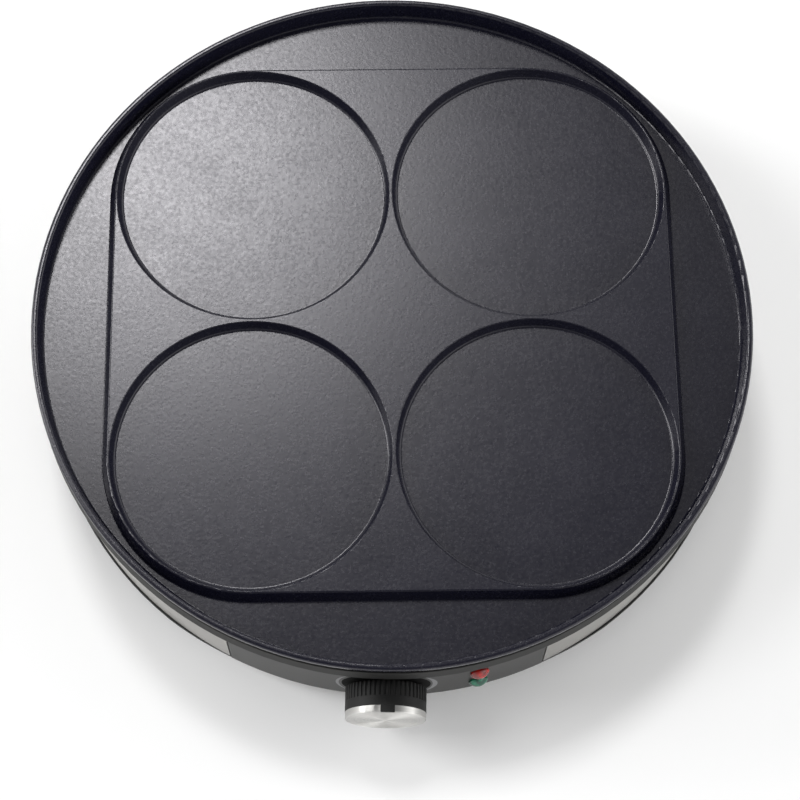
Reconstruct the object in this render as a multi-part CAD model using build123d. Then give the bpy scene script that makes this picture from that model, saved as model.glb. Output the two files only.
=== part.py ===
from build123d import *
import os
from math import asin, cos, degrees, radians, sin, sqrt

# Millimetres. Every shape is drawn about the upright axis of the round body,
# with the knob towards -Y and the table at z = 0. A bearing is an angle about
# that axis, counted from the front towards +X.

# Overall
plate_radius = 160.0
wall_height = 42.0
wall_bottom_z = 10.0
fit_gap = 0.1

# Baking plate
lip_width = 2.9
lip_height = 3.5
lip_overhang = 1.6
lip_outer_rounding = 1.3
lip_inner_rounding = 1.2
gap_under_lip = 5.0
pan_depth = 9.3
pan_wall_run = 1.3
pan_wall_thickness = 1.7
pan_floor_thickness = 3.5
pan_foot_rounding = 0.8
plateau_height = 6.2
plateau_run = 2.6
plateau_land = 0.8
plateau_corner_gap = 2.47
plateau_turn = 1.7
plateau_foot_rounding = 0.6
plateau_edge_rounding = 0.8
hollow_web = 1.2
hollow_depth = 5.0
hollow_run = 1.85
hollow_foot_rounding = 1.2
land_rounding = 0.35

# Fixings between plate and base
fixing_bearings = (-60.0, 60.0, 180.0)
fixing_inset = 22.0
fixing_boss_radius = 7.0
fixing_boss_height = 10.2
plate_screw_radius = 2.0
plate_screw_head_radius = 3.8
plate_screw_head_height = 3.2
plate_screw_bite = 9.0
plate_screw_tip_gap = 0.6
spacer_radius = 5.0
tower_radius = 7.0
tower_height = 17.5
tower_seat_height = 9.5
tag_thickness = 0.8
tag_radius = 5.4
screw_clearance = 0.25

# Heating element
element_share = 0.575
element_tube_radius = 3.3
element_gap_half_angle = 20.0
element_bend_radius = 9.0
element_leg_length = 5.6
element_rib_margin = 2.7
element_rib_depth = 5.4
element_sink = 0.8
bead_wall = 1.3
bead_length = 6.4
element_tab_width = 6.3
element_tab_length = 8.0
element_pin_length = 2.0
tab_thickness = 0.8

# Heat shield
shield_thickness = 0.6
shield_rim_gap = 5.5
shield_rim_run = 8.0
shield_rim_rise = 6.4

# Shoulder ring
ring_flare = 0.4
ring_plate_gap = 0.2
ring_top_width = 1.2
ring_height = 6.5
ring_edge_height = 1.2
ring_skirt_depth = 8.0
ring_skirt_thickness = 1.9
ring_flange_reach = 16.5
ring_flange_thickness = 2.0
ring_flange_drop = 1.4
pillar_radius = 4.2
pillar_inset = 11.0
pillar_floor_gap = 3.0
pillar_hole_depth = 14.0
pillar_bearings = (-160.0, -100.0, -40.0, 40.0, 100.0, 160.0)
base_screw_radius = 1.45
base_screw_head_radius = 3.1
base_screw_head_height = 2.0
base_screw_length = 15.0

# Wall
wall_inset = 2.0
band_thickness = 0.6
band_hook = 1.9
panel_proud = 0.3
panel_thickness = 2.5
panel_end_gap = 0.2
panel_half_angle = 25.8
panel_rounding = 1.5
panel_pad_bearing = 21.5
panel_pad_radius = 4.0
panel_pad_height = 9.5
panel_screw_radius = 1.45
panel_screw_head_radius = 2.8
panel_screw_head_height = 1.9
panel_screw_bite = 2.4
seam_width = 0.9

# Base pan
base_floor_thickness = 2.5
base_flange_reach = 0.9
flange_flush_bearing = 26.5
flange_full_bearing = 37.0
base_wall_gap = 1.0
base_wall_thickness = 2.2
base_wall_height = 21.5
band_rib_height = 3.0
band_rib_thickness = 0.7
front_gap_margin = 3.4
front_gap_sill = 2.5
leg_inset = 36.0
leg_bearings = (-135.0, -45.0, 45.0, 135.0)
leg_wall = 2.2
leg_taper = 2.0
leg_bottom_z = 3.0
foot_radius = 8.8
foot_seat_depth = 1.5
foot_clearance = 0.2
foot_rounding = 1.2
vent_count = 12
vent_inset = 30.0
vent_length = 20.0
vent_width = 3.0

# Knob
knob_margin = 3.35
knob_drop = 0.5
knob_length = 14.2
knob_wall_gap = 1.0
knob_shell_thickness = 2.2
knob_cap_thickness = 3.1
knob_cap_rounding = 0.7
knob_cap_spigot_radius = 4.0
knob_cap_spigot_length = 1.4
knob_collar_length = 4.4
knob_flute_count = 52
knob_flute_depth = 0.45
knob_flute_radius = 0.75
knob_hub_wall = 3.2
knob_hub_inset = 1.0
pointer_width = 6.2
pointer_depth = 1.0
pointer_turn = 3.0
spring_thickness = 0.5

# Thermostat
shaft_radius = 3.0
shaft_flat_length = 16.0
shaft_end_gap = 0.3
shaft_hole_clearance = 0.75
running_clearance = 0.05
bush_wall = 2.0
bush_reach = 8.0
bush_insertion = 2.0
bush_clearance = 0.1
nut_wall = 2.0
nut_thickness = 2.5
bracket_inset = 19.0
bracket_thickness = 1.0
bracket_width = 28.0
bracket_rounding = 3.0
bracket_foot_length = 18.0
bracket_foot_height = 2.0
bracket_screw_spacing = 18.0
bracket_screw_inset = 11.0
bracket_boss_radius = 3.6
small_screw_radius = 1.4
small_screw_head_radius = 2.8
small_screw_head_height = 1.8
small_screw_clearance = 0.2
body_width = 34.0
body_length = 26.0
body_foot_gap = 3.0
body_shield_gap = 1.9
body_rounding = 1.5
diaphragm_inset = 1.0
diaphragm_length = 5.0
shaft_collar_wall = 1.3
shaft_collar_length = 1.5
collar_space = 2.1
collar_clearance = 0.3
shaft_insertion = 12.0
pin_radius = 1.55
pin_thread_depth = 8.0
pin_key_size = 5.0
pin_key_length = 2.5
pin_key_offset = 3.5
pin_engagement = 6.5
pin_length = 15.5
pin_room = 4.0
body_tab_place = 15.2
body_tab_drop = 0.5
body_tab_projection = 8.0

# Sensor
bulb_radius = 3.0
bulb_inset = 12.0
bulb_room = 20.0
capillary_radius = 0.8
capillary_bend = 5.0
capillary_rise_gap = 8.0
clip_thickness = 0.6
clip_width = 8.0
clip_foot_length = 10.0
clip_inset = 15.0
clip_screw_offset = 8.5
clip_screw_length = 3.6
wire_hole_radius = 3.2

# Indicators
lamp_bearing = 14.7
red_lens_rise = 7.8
green_lens_drop = 7.1
lens_radius = 4.3
lens_rim_height = 0.8
lens_dome_height = 2.4
lens_shoulder = 0.8
lens_stem_wall = 0.8
lens_stem_length = 9.0
lens_crown = 1.5
lens_clearance = 0.1
washer_reach = 1.5
washer_thickness = 0.5
lamp_clearance = 0.3
lamp_length = 15.0
lamp_insertion = 6.0

# Terminal block, fuse and gland
block_width = 36.0
block_length = 18.0
block_height = 14.0
block_inset = 28.0
block_way_spacing = 11.0
block_way_radius = 1.9
fuse_radius = 2.6
fuse_length = 16.0
fuse_inset = 48.0
gland_height = 11.5
gland_bore_radius = 3.9
gland_wall = 2.6
gland_flange_reach = 2.5
gland_flange_thickness = 2.0
gland_length = 14.0

# Wires
wire_radius = 1.25
lead_radius = 0.7
wire_floor_gap = 0.3
wire_tab_gap = 0.3
tag_barrel_wall = 0.45

# Heights that follow
base_floor_z = wall_bottom_z + base_floor_thickness
ring_edge_z = wall_bottom_z + wall_height
ring_top_z = ring_edge_z + ring_height
lip_top_z = ring_top_z + gap_under_lip + lip_height
plate_floor_z = lip_top_z - pan_depth
plate_under_z = plate_floor_z - pan_floor_thickness
plateau_top_z = plate_floor_z + plateau_height
hollow_floor_z = plateau_top_z - hollow_depth
boss_bottom_z = plate_under_z - fixing_boss_height
shield_under_z = boss_bottom_z - shield_thickness
element_z = plate_under_z - element_rib_depth + element_sink
element_end_z = element_z - element_bend_radius - element_leg_length
tower_top_z = base_floor_z + tower_height
tower_seat_z = base_floor_z + tower_seat_height
plate_screw_length = boss_bottom_z + plate_screw_bite - tower_seat_z
base_wall_top_z = base_floor_z + base_wall_height
panel_pad_z = base_floor_z + panel_pad_height
gland_z = base_floor_z + gland_height
knob_axis_z = wall_bottom_z + wall_height / 2 - knob_drop
red_z = knob_axis_z + red_lens_rise
green_z = knob_axis_z - green_lens_drop
bracket_foot_z = base_floor_z + bracket_foot_height
body_bottom_z = bracket_foot_z + bracket_thickness + body_foot_gap
body_top_z = shield_under_z - body_shield_gap
bracket_top_z = body_top_z - 0.5
can_z = (body_bottom_z + body_top_z) / 2
tag_wire_z = tower_top_z + wire_radius + 0.4

# Radii that follow
pan_floor_radius = plate_radius - lip_width - pan_wall_run
plateau_room = pan_floor_radius - plateau_corner_gap - plateau_run - plateau_land
hollow_radius = (plateau_room - hollow_web / sqrt(2)) / (1 + sqrt(2))
hollow_spacing = 2 * hollow_radius + hollow_web
plateau_half = hollow_spacing / 2 + hollow_radius + plateau_land
element_radius = plate_radius * element_share
element_rib_half = element_tube_radius + element_rib_margin
bead_radius = element_tube_radius + bead_wall
fixing_circle_radius = element_radius - fixing_inset
ring_edge_radius = plate_radius + ring_flare
ring_bore_radius = plate_radius - lip_overhang - ring_plate_gap
ring_top_radius = ring_bore_radius + ring_top_width
wall_radius = plate_radius - wall_inset
band_inner_radius = wall_radius - band_thickness
skirt_outer_radius = band_inner_radius - fit_gap
skirt_inner_radius = skirt_outer_radius - ring_skirt_thickness
panel_outer_radius = wall_radius + panel_proud
panel_inner_radius = panel_outer_radius - panel_thickness
base_wall_radius = panel_inner_radius - base_wall_gap
base_wall_inner_radius = base_wall_radius - base_wall_thickness
base_flange_radius = wall_radius + base_flange_reach
ring_flange_inner_radius = wall_radius - ring_flange_reach
shield_rim_radius = ring_flange_inner_radius - shield_rim_gap
shield_flat_radius = shield_rim_radius - shield_rim_run
pillar_circle_radius = wall_radius - pillar_inset
leg_circle_radius = wall_radius - leg_inset
leg_bottom_radius = foot_radius + leg_wall
leg_top_radius = leg_bottom_radius + leg_taper
vent_circle_radius = fixing_circle_radius - vent_inset
front_gap_half_angle = panel_pad_bearing - front_gap_margin
seam_angle = degrees(seam_width / wall_radius)
runout_share = cos(radians(flange_flush_bearing)) - cos(radians(flange_full_bearing))
runout_shift = base_flange_reach / runout_share
runout_radius = wall_radius + runout_shift * cos(radians(flange_flush_bearing))
knob_radius = wall_height / 2 - knob_margin
bush_radius = shaft_radius + bush_wall
nut_across_flats = 2 * (bush_radius + nut_wall)
shaft_collar_radius = shaft_radius + shaft_collar_wall
shaft_flat_height = shaft_radius / 2
knob_hub_radius = shaft_radius + knob_hub_wall
diaphragm_radius = (body_top_z - body_bottom_z) / 2 - diaphragm_inset
spring_width = 1.2 * shaft_radius
lens_stem_radius = lens_radius - lens_shoulder
lens_bore_radius = lens_stem_radius - lens_stem_wall
washer_radius = lens_radius + washer_reach
lamp_radius = lens_bore_radius - lamp_clearance
gland_body_radius = gland_bore_radius + gland_wall
gland_flange_radius = gland_body_radius + gland_flange_reach

# Distances along Y that follow
knob_rear_y = -(panel_outer_radius + knob_wall_gap)
knob_face_y = knob_rear_y - knob_length
cap_rear_y = knob_face_y + knob_cap_thickness
shaft_front_y = cap_rear_y + knob_shell_thickness + shaft_end_gap
bracket_front_y = -(wall_radius - bracket_inset)
bush_front_y = bracket_front_y - bush_reach
body_front_y = bracket_front_y + bracket_thickness
body_rear_y = body_front_y + body_length
shaft_rear_y = body_front_y + shaft_insertion
collar_front_y = body_front_y + bush_insertion + collar_clearance
bulb_front_y = -(element_radius - bulb_inset)
bulb_length = element_radius - bulb_inset - bulb_room
sensor_hole_y = body_rear_y + diaphragm_length + capillary_rise_gap
fuse_y = fixing_circle_radius - fuse_inset
block_rear_y = wall_radius - block_inset
block_front_y = block_rear_y - block_length
gland_outer_y = wall_radius + fit_gap + gland_flange_thickness
axis_y = (-knob_face_y - ring_edge_radius) / 2


def spot(bearing, radius, height):
    """Point at a bearing and a radius from the body axis."""
    turn = radians(bearing)
    return Vector(radius * sin(turn), -radius * cos(turn), height)


def outward(bearing, radius, height):
    """Plane at that point, with its normal pointing away from the axis."""
    turn = radians(bearing)
    return Plane(
        origin=spot(bearing, radius, height),
        x_dir=(cos(turn), sin(turn), 0),
        z_dir=(sin(turn), -cos(turn), 0),
    )


def upright(point):
    """Level plane through a point, facing up."""
    return Plane(origin=point, x_dir=(1, 0, 0), z_dir=(0, 0, 1))


def facing_back(y, x=0.0, z=knob_axis_z):
    """Plane across the knob axis, facing +Y."""
    return Plane(origin=(x, y, z), x_dir=(1, 0, 0), z_dir=(0, 1, 0))


def rod(plane, radius, length):
    """Cylinder standing on a plane."""
    return extrude(plane * Circle(radius), length)


def block(x0, x1, y0, y1, z0, z1):
    """Box between two corners."""
    centre = Pos((x0 + x1) / 2, (y0 + y1) / 2, (z0 + z1) / 2)
    return centre * Box(x1 - x0, y1 - y0, z1 - z0)


def turned(profile, arc=360.0, start_bearing=90.0):
    """Solid turned about the body axis from (radius, height, rounding) points."""
    outline = make_face(Polyline(*[(r, z) for r, z, _ in profile], close=True))
    for radius, height, rounding in profile:
        if rounding > 0:
            corner = outline.vertices().sort_by_distance(Vector(radius, height))[0]
            outline = fillet(corner, rounding)
    solid = revolve(Plane.XZ * outline, Axis.Z, arc)
    return Rot(0, 0, start_bearing - 90) * solid


def front_sector(half_angle, inner, outer, low, high):
    """Piece of a ring centred on the front."""
    profile = [(inner, low, 0), (outer, low, 0), (outer, high, 0), (inner, high, 0)]
    return turned(profile, 2 * half_angle, -half_angle)


def tube_along(path, radius):
    """Round bar swept along a path."""
    start = Plane(origin=path @ 0, z_dir=path % 0)
    return sweep(start * Circle(radius), path=path)


def screw(plane, radius, length, head_radius, head_height):
    """Pan-head screw: the shank runs along the normal and the head stands behind it."""
    shank = rod(plane, radius, length)
    head = rod(plane, head_radius, -head_height)
    arm = Rectangle(head_radius * 1.1, head_radius * 0.28)
    cross = plane.offset(-head_height) * (arm + Rot(0, 0, 90) * arm)
    return shank + head - extrude(cross, head_height * 0.5)


def save(name, shape):
    """Write one piece, moved so that the whole object is centred on the origin."""
    placed = Pos(0, axis_y, 0) * shape
    solids = placed.solids()
    result = Compound(children=list(solids)) if len(solids) > 1 else solids[0]
    result.label = name
    export_step(result, os.path.join("parts", name + ".step"))
    box = result.bounding_box()
    print(name, len(solids), "solids", "x", round(box.min.X, 1), round(box.max.X, 1),
          "y", round(box.min.Y, 1), round(box.max.Y, 1), "z", round(box.min.Z, 1), round(box.max.Z, 1))


def element_foot(side):
    """Top of a cold end of the heating element, where its bend starts, and the way it leads."""
    bearing = side * element_gap_half_angle
    start = spot(bearing, element_radius, element_z)
    lead = Vector(-side * cos(radians(bearing)), -side * sin(radians(bearing)), 0)
    return start, lead


def element_leg(side):
    """Point on the axis of a cold end at its lower end."""
    start, lead = element_foot(side)
    down = start + lead * element_bend_radius
    return Vector(down.X, down.Y, element_end_z)


def baking_plate():
    """Cast pan with a lip, a raised plateau, four hollows and its bosses underneath."""
    wall_foot = pan_floor_radius + pan_wall_thickness
    lip_under_z = lip_top_z - lip_height
    plate = turned([
        (0, plate_under_z, 0),
        (wall_foot, plate_under_z, 3.0),
        (plate_radius - lip_overhang, lip_under_z, 0.4),
        (plate_radius, lip_under_z + 0.5, 0.5),
        (plate_radius, lip_top_z, lip_outer_rounding),
        (plate_radius - lip_width, lip_top_z, lip_inner_rounding),
        (pan_floor_radius, plate_floor_z, pan_foot_rounding),
        (0, plate_floor_z, 0),
    ])
    corner = plateau_half - hollow_spacing / 2
    foot_half = plateau_half + plateau_run
    foot = Rot(0, 0, plateau_turn) * RectangleRounded(2 * foot_half, 2 * foot_half, corner + plateau_run)
    top = Rot(0, 0, plateau_turn) * RectangleRounded(2 * plateau_half, 2 * plateau_half, corner)
    plate += extrude(Pos(0, 0, plate_floor_z - 1) * foot, 1)
    plate += loft(Sketch() + [Pos(0, 0, plate_floor_z) * foot, Pos(0, 0, plateau_top_z) * top])
    hollow = Cone(hollow_radius - hollow_run, hollow_radius, hollow_depth)
    step = hollow_spacing / 2
    for x in (-step, step):
        for y in (-step, step):
            plate -= Rot(0, 0, plateau_turn) * Pos(x, y, hollow_floor_z + hollow_depth / 2) * hollow
    hollow_feet = plate.edges().filter_by(GeomType.CIRCLE).filter_by(
        lambda e: abs(e.radius - hollow_radius + hollow_run) < 0.01
        and abs(e.center().Z - hollow_floor_z) < 0.01)
    plate = fillet(hollow_feet, hollow_foot_rounding)
    lands = plate.edges().filter_by(GeomType.CIRCLE).filter_by(
        lambda e: abs(e.radius - hollow_radius) < 0.01 and abs(e.center().Z - plateau_top_z) < 0.01)
    plate = fillet(lands, land_rounding)
    plate = fillet(square_edges(plate, plateau_top_z, plateau_half), plateau_edge_rounding)
    plate = fillet(square_edges(plate, plate_floor_z, foot_half), plateau_foot_rounding)
    rib_foot = plate_under_z + 0.5
    rib_low = plate_under_z - element_rib_depth
    sweep_angle = 360 - 2 * element_gap_half_angle
    plate += turned([
        (element_radius - element_rib_half, rib_foot, 0),
        (element_radius - element_rib_half, rib_low, 1.0),
        (element_radius + element_rib_half, rib_low, 1.0),
        (element_radius + element_rib_half, rib_foot, 0),
    ], sweep_angle, element_gap_half_angle)
    groove_radius = element_tube_radius + fit_gap / 2
    groove = Pos(element_radius, element_z) * Circle(groove_radius)
    groove += Pos(element_radius, element_z - 1.5) * Rectangle(2 * groove_radius, 3.0)
    plate -= revolve(Plane.XZ * groove, Axis.Z)
    screw_hole_depth = plate_screw_bite + plate_screw_tip_gap
    for bearing in fixing_bearings:
        level = upright(spot(bearing, fixing_circle_radius, boss_bottom_z))
        plate += rod(level, fixing_boss_radius, fixing_boss_height + 0.5)
        plate -= rod(level, plate_screw_radius + fit_gap / 2, screw_hole_depth)
    for y in clip_places():
        hole = upright(Vector(clip_screw_offset, y, plate_under_z - 0.5))
        plate -= rod(hole, small_screw_radius + fit_gap / 2, clip_screw_length)
    return plate


def square_edges(plate, height, half):
    """Edges of the plate at a height that bound a square of the given half width."""
    reach = half * sqrt(2)
    return plate.edges().filter_by(
        lambda e: abs(e.center().Z - height) < 0.01 and e.bounding_box().min.Z > height - 0.01
        and e.bounding_box().max.Z < height + 0.01
        and half - 0.01 < Vector(e.center().X, e.center().Y).length < reach)


def clip_places():
    """Distances along Y of the clips that hold the bulb and the fuse."""
    return (bulb_front_y + clip_inset, bulb_front_y + bulb_length - clip_inset, fuse_y + fuse_length / 2)


def heating_element():
    """Tubular element: most of a ring, with both ends bent down."""
    rear = spot(180, element_radius, element_z)
    bend = element_bend_radius
    points = {}
    for side in (1, -1):
        start, lead = element_foot(side)
        turn = start + lead * bend * sin(radians(45)) - Vector(0, 0, bend * (1 - cos(radians(45))))
        points[side] = (start, turn, start + lead * bend - Vector(0, 0, bend), element_leg(side))
    near, far = points[1], points[-1]
    path = Wire([
        Line(near[3], near[2]).edge(),
        ThreePointArc(near[2], near[1], near[0]).edge(),
        ThreePointArc(near[0], rear, far[0]).edge(),
        ThreePointArc(far[0], far[1], far[2]).edge(),
        Line(far[2], far[3]).edge(),
    ])
    return tube_along(path, element_tube_radius)


def element_beads():
    """Ceramic collars round the two cold ends."""
    beads = []
    for side in (-1, 1):
        foot = element_leg(side)
        level = upright(Vector(foot.X, foot.Y, foot.Z - 1))
        bead = rod(level, bead_radius, bead_length)
        bead = fillet(bead.edges(), 0.8)
        inner = upright(Vector(foot.X, foot.Y, foot.Z))
        bead -= rod(inner, element_tube_radius + fit_gap / 2, bead_length)
        bead -= rod(level, 1.5, 2)
        beads.append(bead)
    return Compound(children=beads)


def element_tabs():
    """Push-on tabs welded to the cold ends."""
    tabs = []
    for side in (-1, 1):
        foot = element_leg(side)
        blade_top = foot.Z - element_pin_length
        low = blade_top - element_tab_length
        pin = rod(upright(Vector(foot.X, foot.Y, blade_top - 0.5)), 1.2, element_pin_length + 0.5)
        blade = block(foot.X - element_tab_width / 2, foot.X + element_tab_width / 2,
                      foot.Y - tab_thickness / 2, foot.Y + tab_thickness / 2, low, blade_top)
        blade = chamfer(blade.edges().group_by(Axis.Z)[0].filter_by(Axis.Y), 1.0)
        blade -= Pos(foot.X, foot.Y, low + 4) * Rot(90, 0, 0) * Cylinder(0.9, 4)
        tabs.append(pin + blade)
    return Compound(children=tabs)


def fuse_wire_holes():
    """Centres of the two holes in the heat shield for the wires of the fuse."""
    return [(20.0, fuse_y + fuse_length + 14), (-14.0, fuse_y - 18)]


def heat_shield():
    """Pressed dish between plate and base."""
    low = shield_under_z
    high = low + shield_thickness
    shield = turned([
        (0, low, 0),
        (shield_flat_radius, low, 0),
        (shield_rim_radius, low + shield_rim_rise, 0),
        (shield_rim_radius - 0.6, low + shield_rim_rise + 0.35, 0),
        (shield_flat_radius - 0.3, high, 0),
        (0, high, 0),
    ])
    below = low - 1
    for bearing in fixing_bearings:
        shield -= rod(upright(spot(bearing, fixing_circle_radius, below)),
                      plate_screw_radius + screw_clearance, 4)
    for side in (-1, 1):
        foot = element_leg(side)
        shield -= rod(upright(Vector(foot.X, foot.Y, below)), bead_radius + 1.2, 4)
    shield -= rod(upright(Vector(0, sensor_hole_y, below)), wire_hole_radius, 4)
    for x, y in fuse_wire_holes():
        shield -= rod(upright(Vector(x, y, below)), wire_hole_radius, 4)
    return shield


def plate_spacers():
    """Steel tubes between the towers of the base and the heat shield."""
    low = tower_top_z + tag_thickness
    tubes = []
    for bearing in fixing_bearings:
        level = upright(spot(bearing, fixing_circle_radius, low))
        tube = rod(level, spacer_radius, shield_under_z - low)
        tubes.append(tube - rod(level, plate_screw_radius + screw_clearance, shield_under_z - low))
    return Compound(children=tubes)


def spacer_washers():
    """Plain washers under the two front spacers."""
    washers = []
    for bearing in fixing_bearings[:2]:
        level = upright(spot(bearing, fixing_circle_radius, tower_top_z))
        ring = rod(level, tag_radius, tag_thickness)
        washers.append(ring - rod(level, plate_screw_radius + screw_clearance, 4))
    return Compound(children=washers)


def earth_tag():
    """Ring tag under the rear spacer, with a barrel for the earth wire."""
    level = upright(spot(180, fixing_circle_radius, tower_top_z))
    tag = rod(level, tag_radius, tag_thickness)
    y = fixing_circle_radius
    tag += block(-1.8, 1.8, y + 3, y + 9, tower_top_z, tower_top_z + tag_thickness)
    axis = Plane(origin=(0, y + 8, tag_wire_z), x_dir=(1, 0, 0), z_dir=(0, 1, 0))
    tag += rod(axis, wire_radius + tag_barrel_wall, 6)
    tag -= rod(axis, wire_radius + fit_gap / 2, 6)
    return tag - rod(level, plate_screw_radius + screw_clearance, 4)


def plate_screws():
    """Three long screws from the base into the bosses of the plate."""
    screws = [screw(upright(spot(bearing, fixing_circle_radius, tower_seat_z)), plate_screw_radius,
                    plate_screw_length, plate_screw_head_radius, plate_screw_head_height)
              for bearing in fixing_bearings]
    return Compound(children=screws)


def shoulder_ring():
    """Ring that flares out under the plate and carries the screw pillars."""
    skirt_low = ring_edge_z - ring_skirt_depth
    flange_high = ring_edge_z - ring_flange_drop
    flange_low = flange_high - ring_flange_thickness
    ring = turned([
        (ring_bore_radius, ring_top_z, 0.3),
        (ring_top_radius, ring_top_z, 0.5),
        (ring_edge_radius, ring_edge_z + ring_edge_height, 0.6),
        (ring_edge_radius, ring_edge_z, 0.3),
        (skirt_outer_radius, ring_edge_z, 0),
        (skirt_outer_radius, skirt_low, 0),
        (skirt_inner_radius, skirt_low, 0),
        (skirt_inner_radius, flange_low, 0),
        (ring_flange_inner_radius, flange_low, 0.4),
        (ring_flange_inner_radius, flange_high, 0.4),
        (skirt_inner_radius, flange_high, 0),
        (ring_bore_radius, flange_high + 2.2, 0),
    ])
    ring -= front_sector(panel_half_angle + seam_angle + 0.4, panel_inner_radius - 0.6,
                         wall_radius + 1, skirt_low - 1, ring_edge_z)
    low = base_floor_z + pillar_floor_gap
    for bearing in pillar_bearings:
        level = upright(spot(bearing, pillar_circle_radius, low))
        ring += rod(level, pillar_radius, flange_low - low + 0.5)
        ring -= rod(level, base_screw_radius + fit_gap / 2, pillar_hole_depth)
    return ring


def steel_band():
    """Thin strip round the wall, with short hooks at its two ends."""
    start = panel_half_angle + seam_angle
    arc = 360 - 2 * start
    low = base_floor_z + fit_gap
    high = ring_edge_z - fit_gap
    band = turned([
        (band_inner_radius, low, 0),
        (wall_radius, low, 0),
        (wall_radius, high, 0),
        (band_inner_radius, high, 0),
    ], arc, start)
    hook_angle = degrees(band_thickness / wall_radius)
    hook_low = base_floor_z + band_rib_height + 0.4
    hook_high = ring_edge_z - ring_skirt_depth - 0.4
    for hook_start in (start, 360 - start - hook_angle):
        band += turned([
            (band_inner_radius - band_hook, hook_low, 0),
            (wall_radius - 0.1, hook_low, 0),
            (wall_radius - 0.1, hook_high, 0),
            (band_inner_radius - band_hook, hook_high, 0),
        ], hook_angle, hook_start)
    passage = rod(outward(180, base_wall_radius, gland_z), gland_body_radius + fit_gap, 10)
    return band - passage


def front_panel():
    """Curved panel that carries the knob and the indicators."""
    low = wall_bottom_z + panel_end_gap
    high = ring_edge_z - panel_end_gap
    panel = front_sector(panel_half_angle, panel_inner_radius, panel_outer_radius, low, high)
    outer = panel.edges().filter_by(GeomType.CIRCLE).filter_by(
        lambda e: abs(e.radius - panel_outer_radius) < 0.01)
    panel = fillet(outer.sort_by(Axis.Z)[0], panel_rounding)
    for side in (-1, 1):
        bearing = side * panel_pad_bearing
        pad = outward(bearing, base_wall_radius + 0.05, panel_pad_z)
        panel += rod(pad, panel_pad_radius, 2)
        panel -= rod(pad, panel_screw_radius + fit_gap / 2, panel_screw_bite + 0.2)
    shaft_hole = facing_back(-panel_outer_radius - 1)
    panel -= rod(shaft_hole, shaft_radius + shaft_hole_clearance, panel_thickness + 2)
    for z in (red_z, green_z):
        hole = outward(lamp_bearing, panel_inner_radius - 1, z)
        panel -= rod(hole, lens_stem_radius + lens_clearance, panel_thickness + 2)
    return panel


def panel_screws():
    """Two screws through the wall of the base into the pads of the panel."""
    inner = base_wall_inner_radius - 0.05
    length = base_wall_thickness + 0.05 + panel_screw_bite
    screws = [screw(outward(side * panel_pad_bearing, inner, panel_pad_z), panel_screw_radius,
                    length, panel_screw_head_radius, panel_screw_head_height)
              for side in (-1, 1)]
    return Compound(children=screws)


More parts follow.
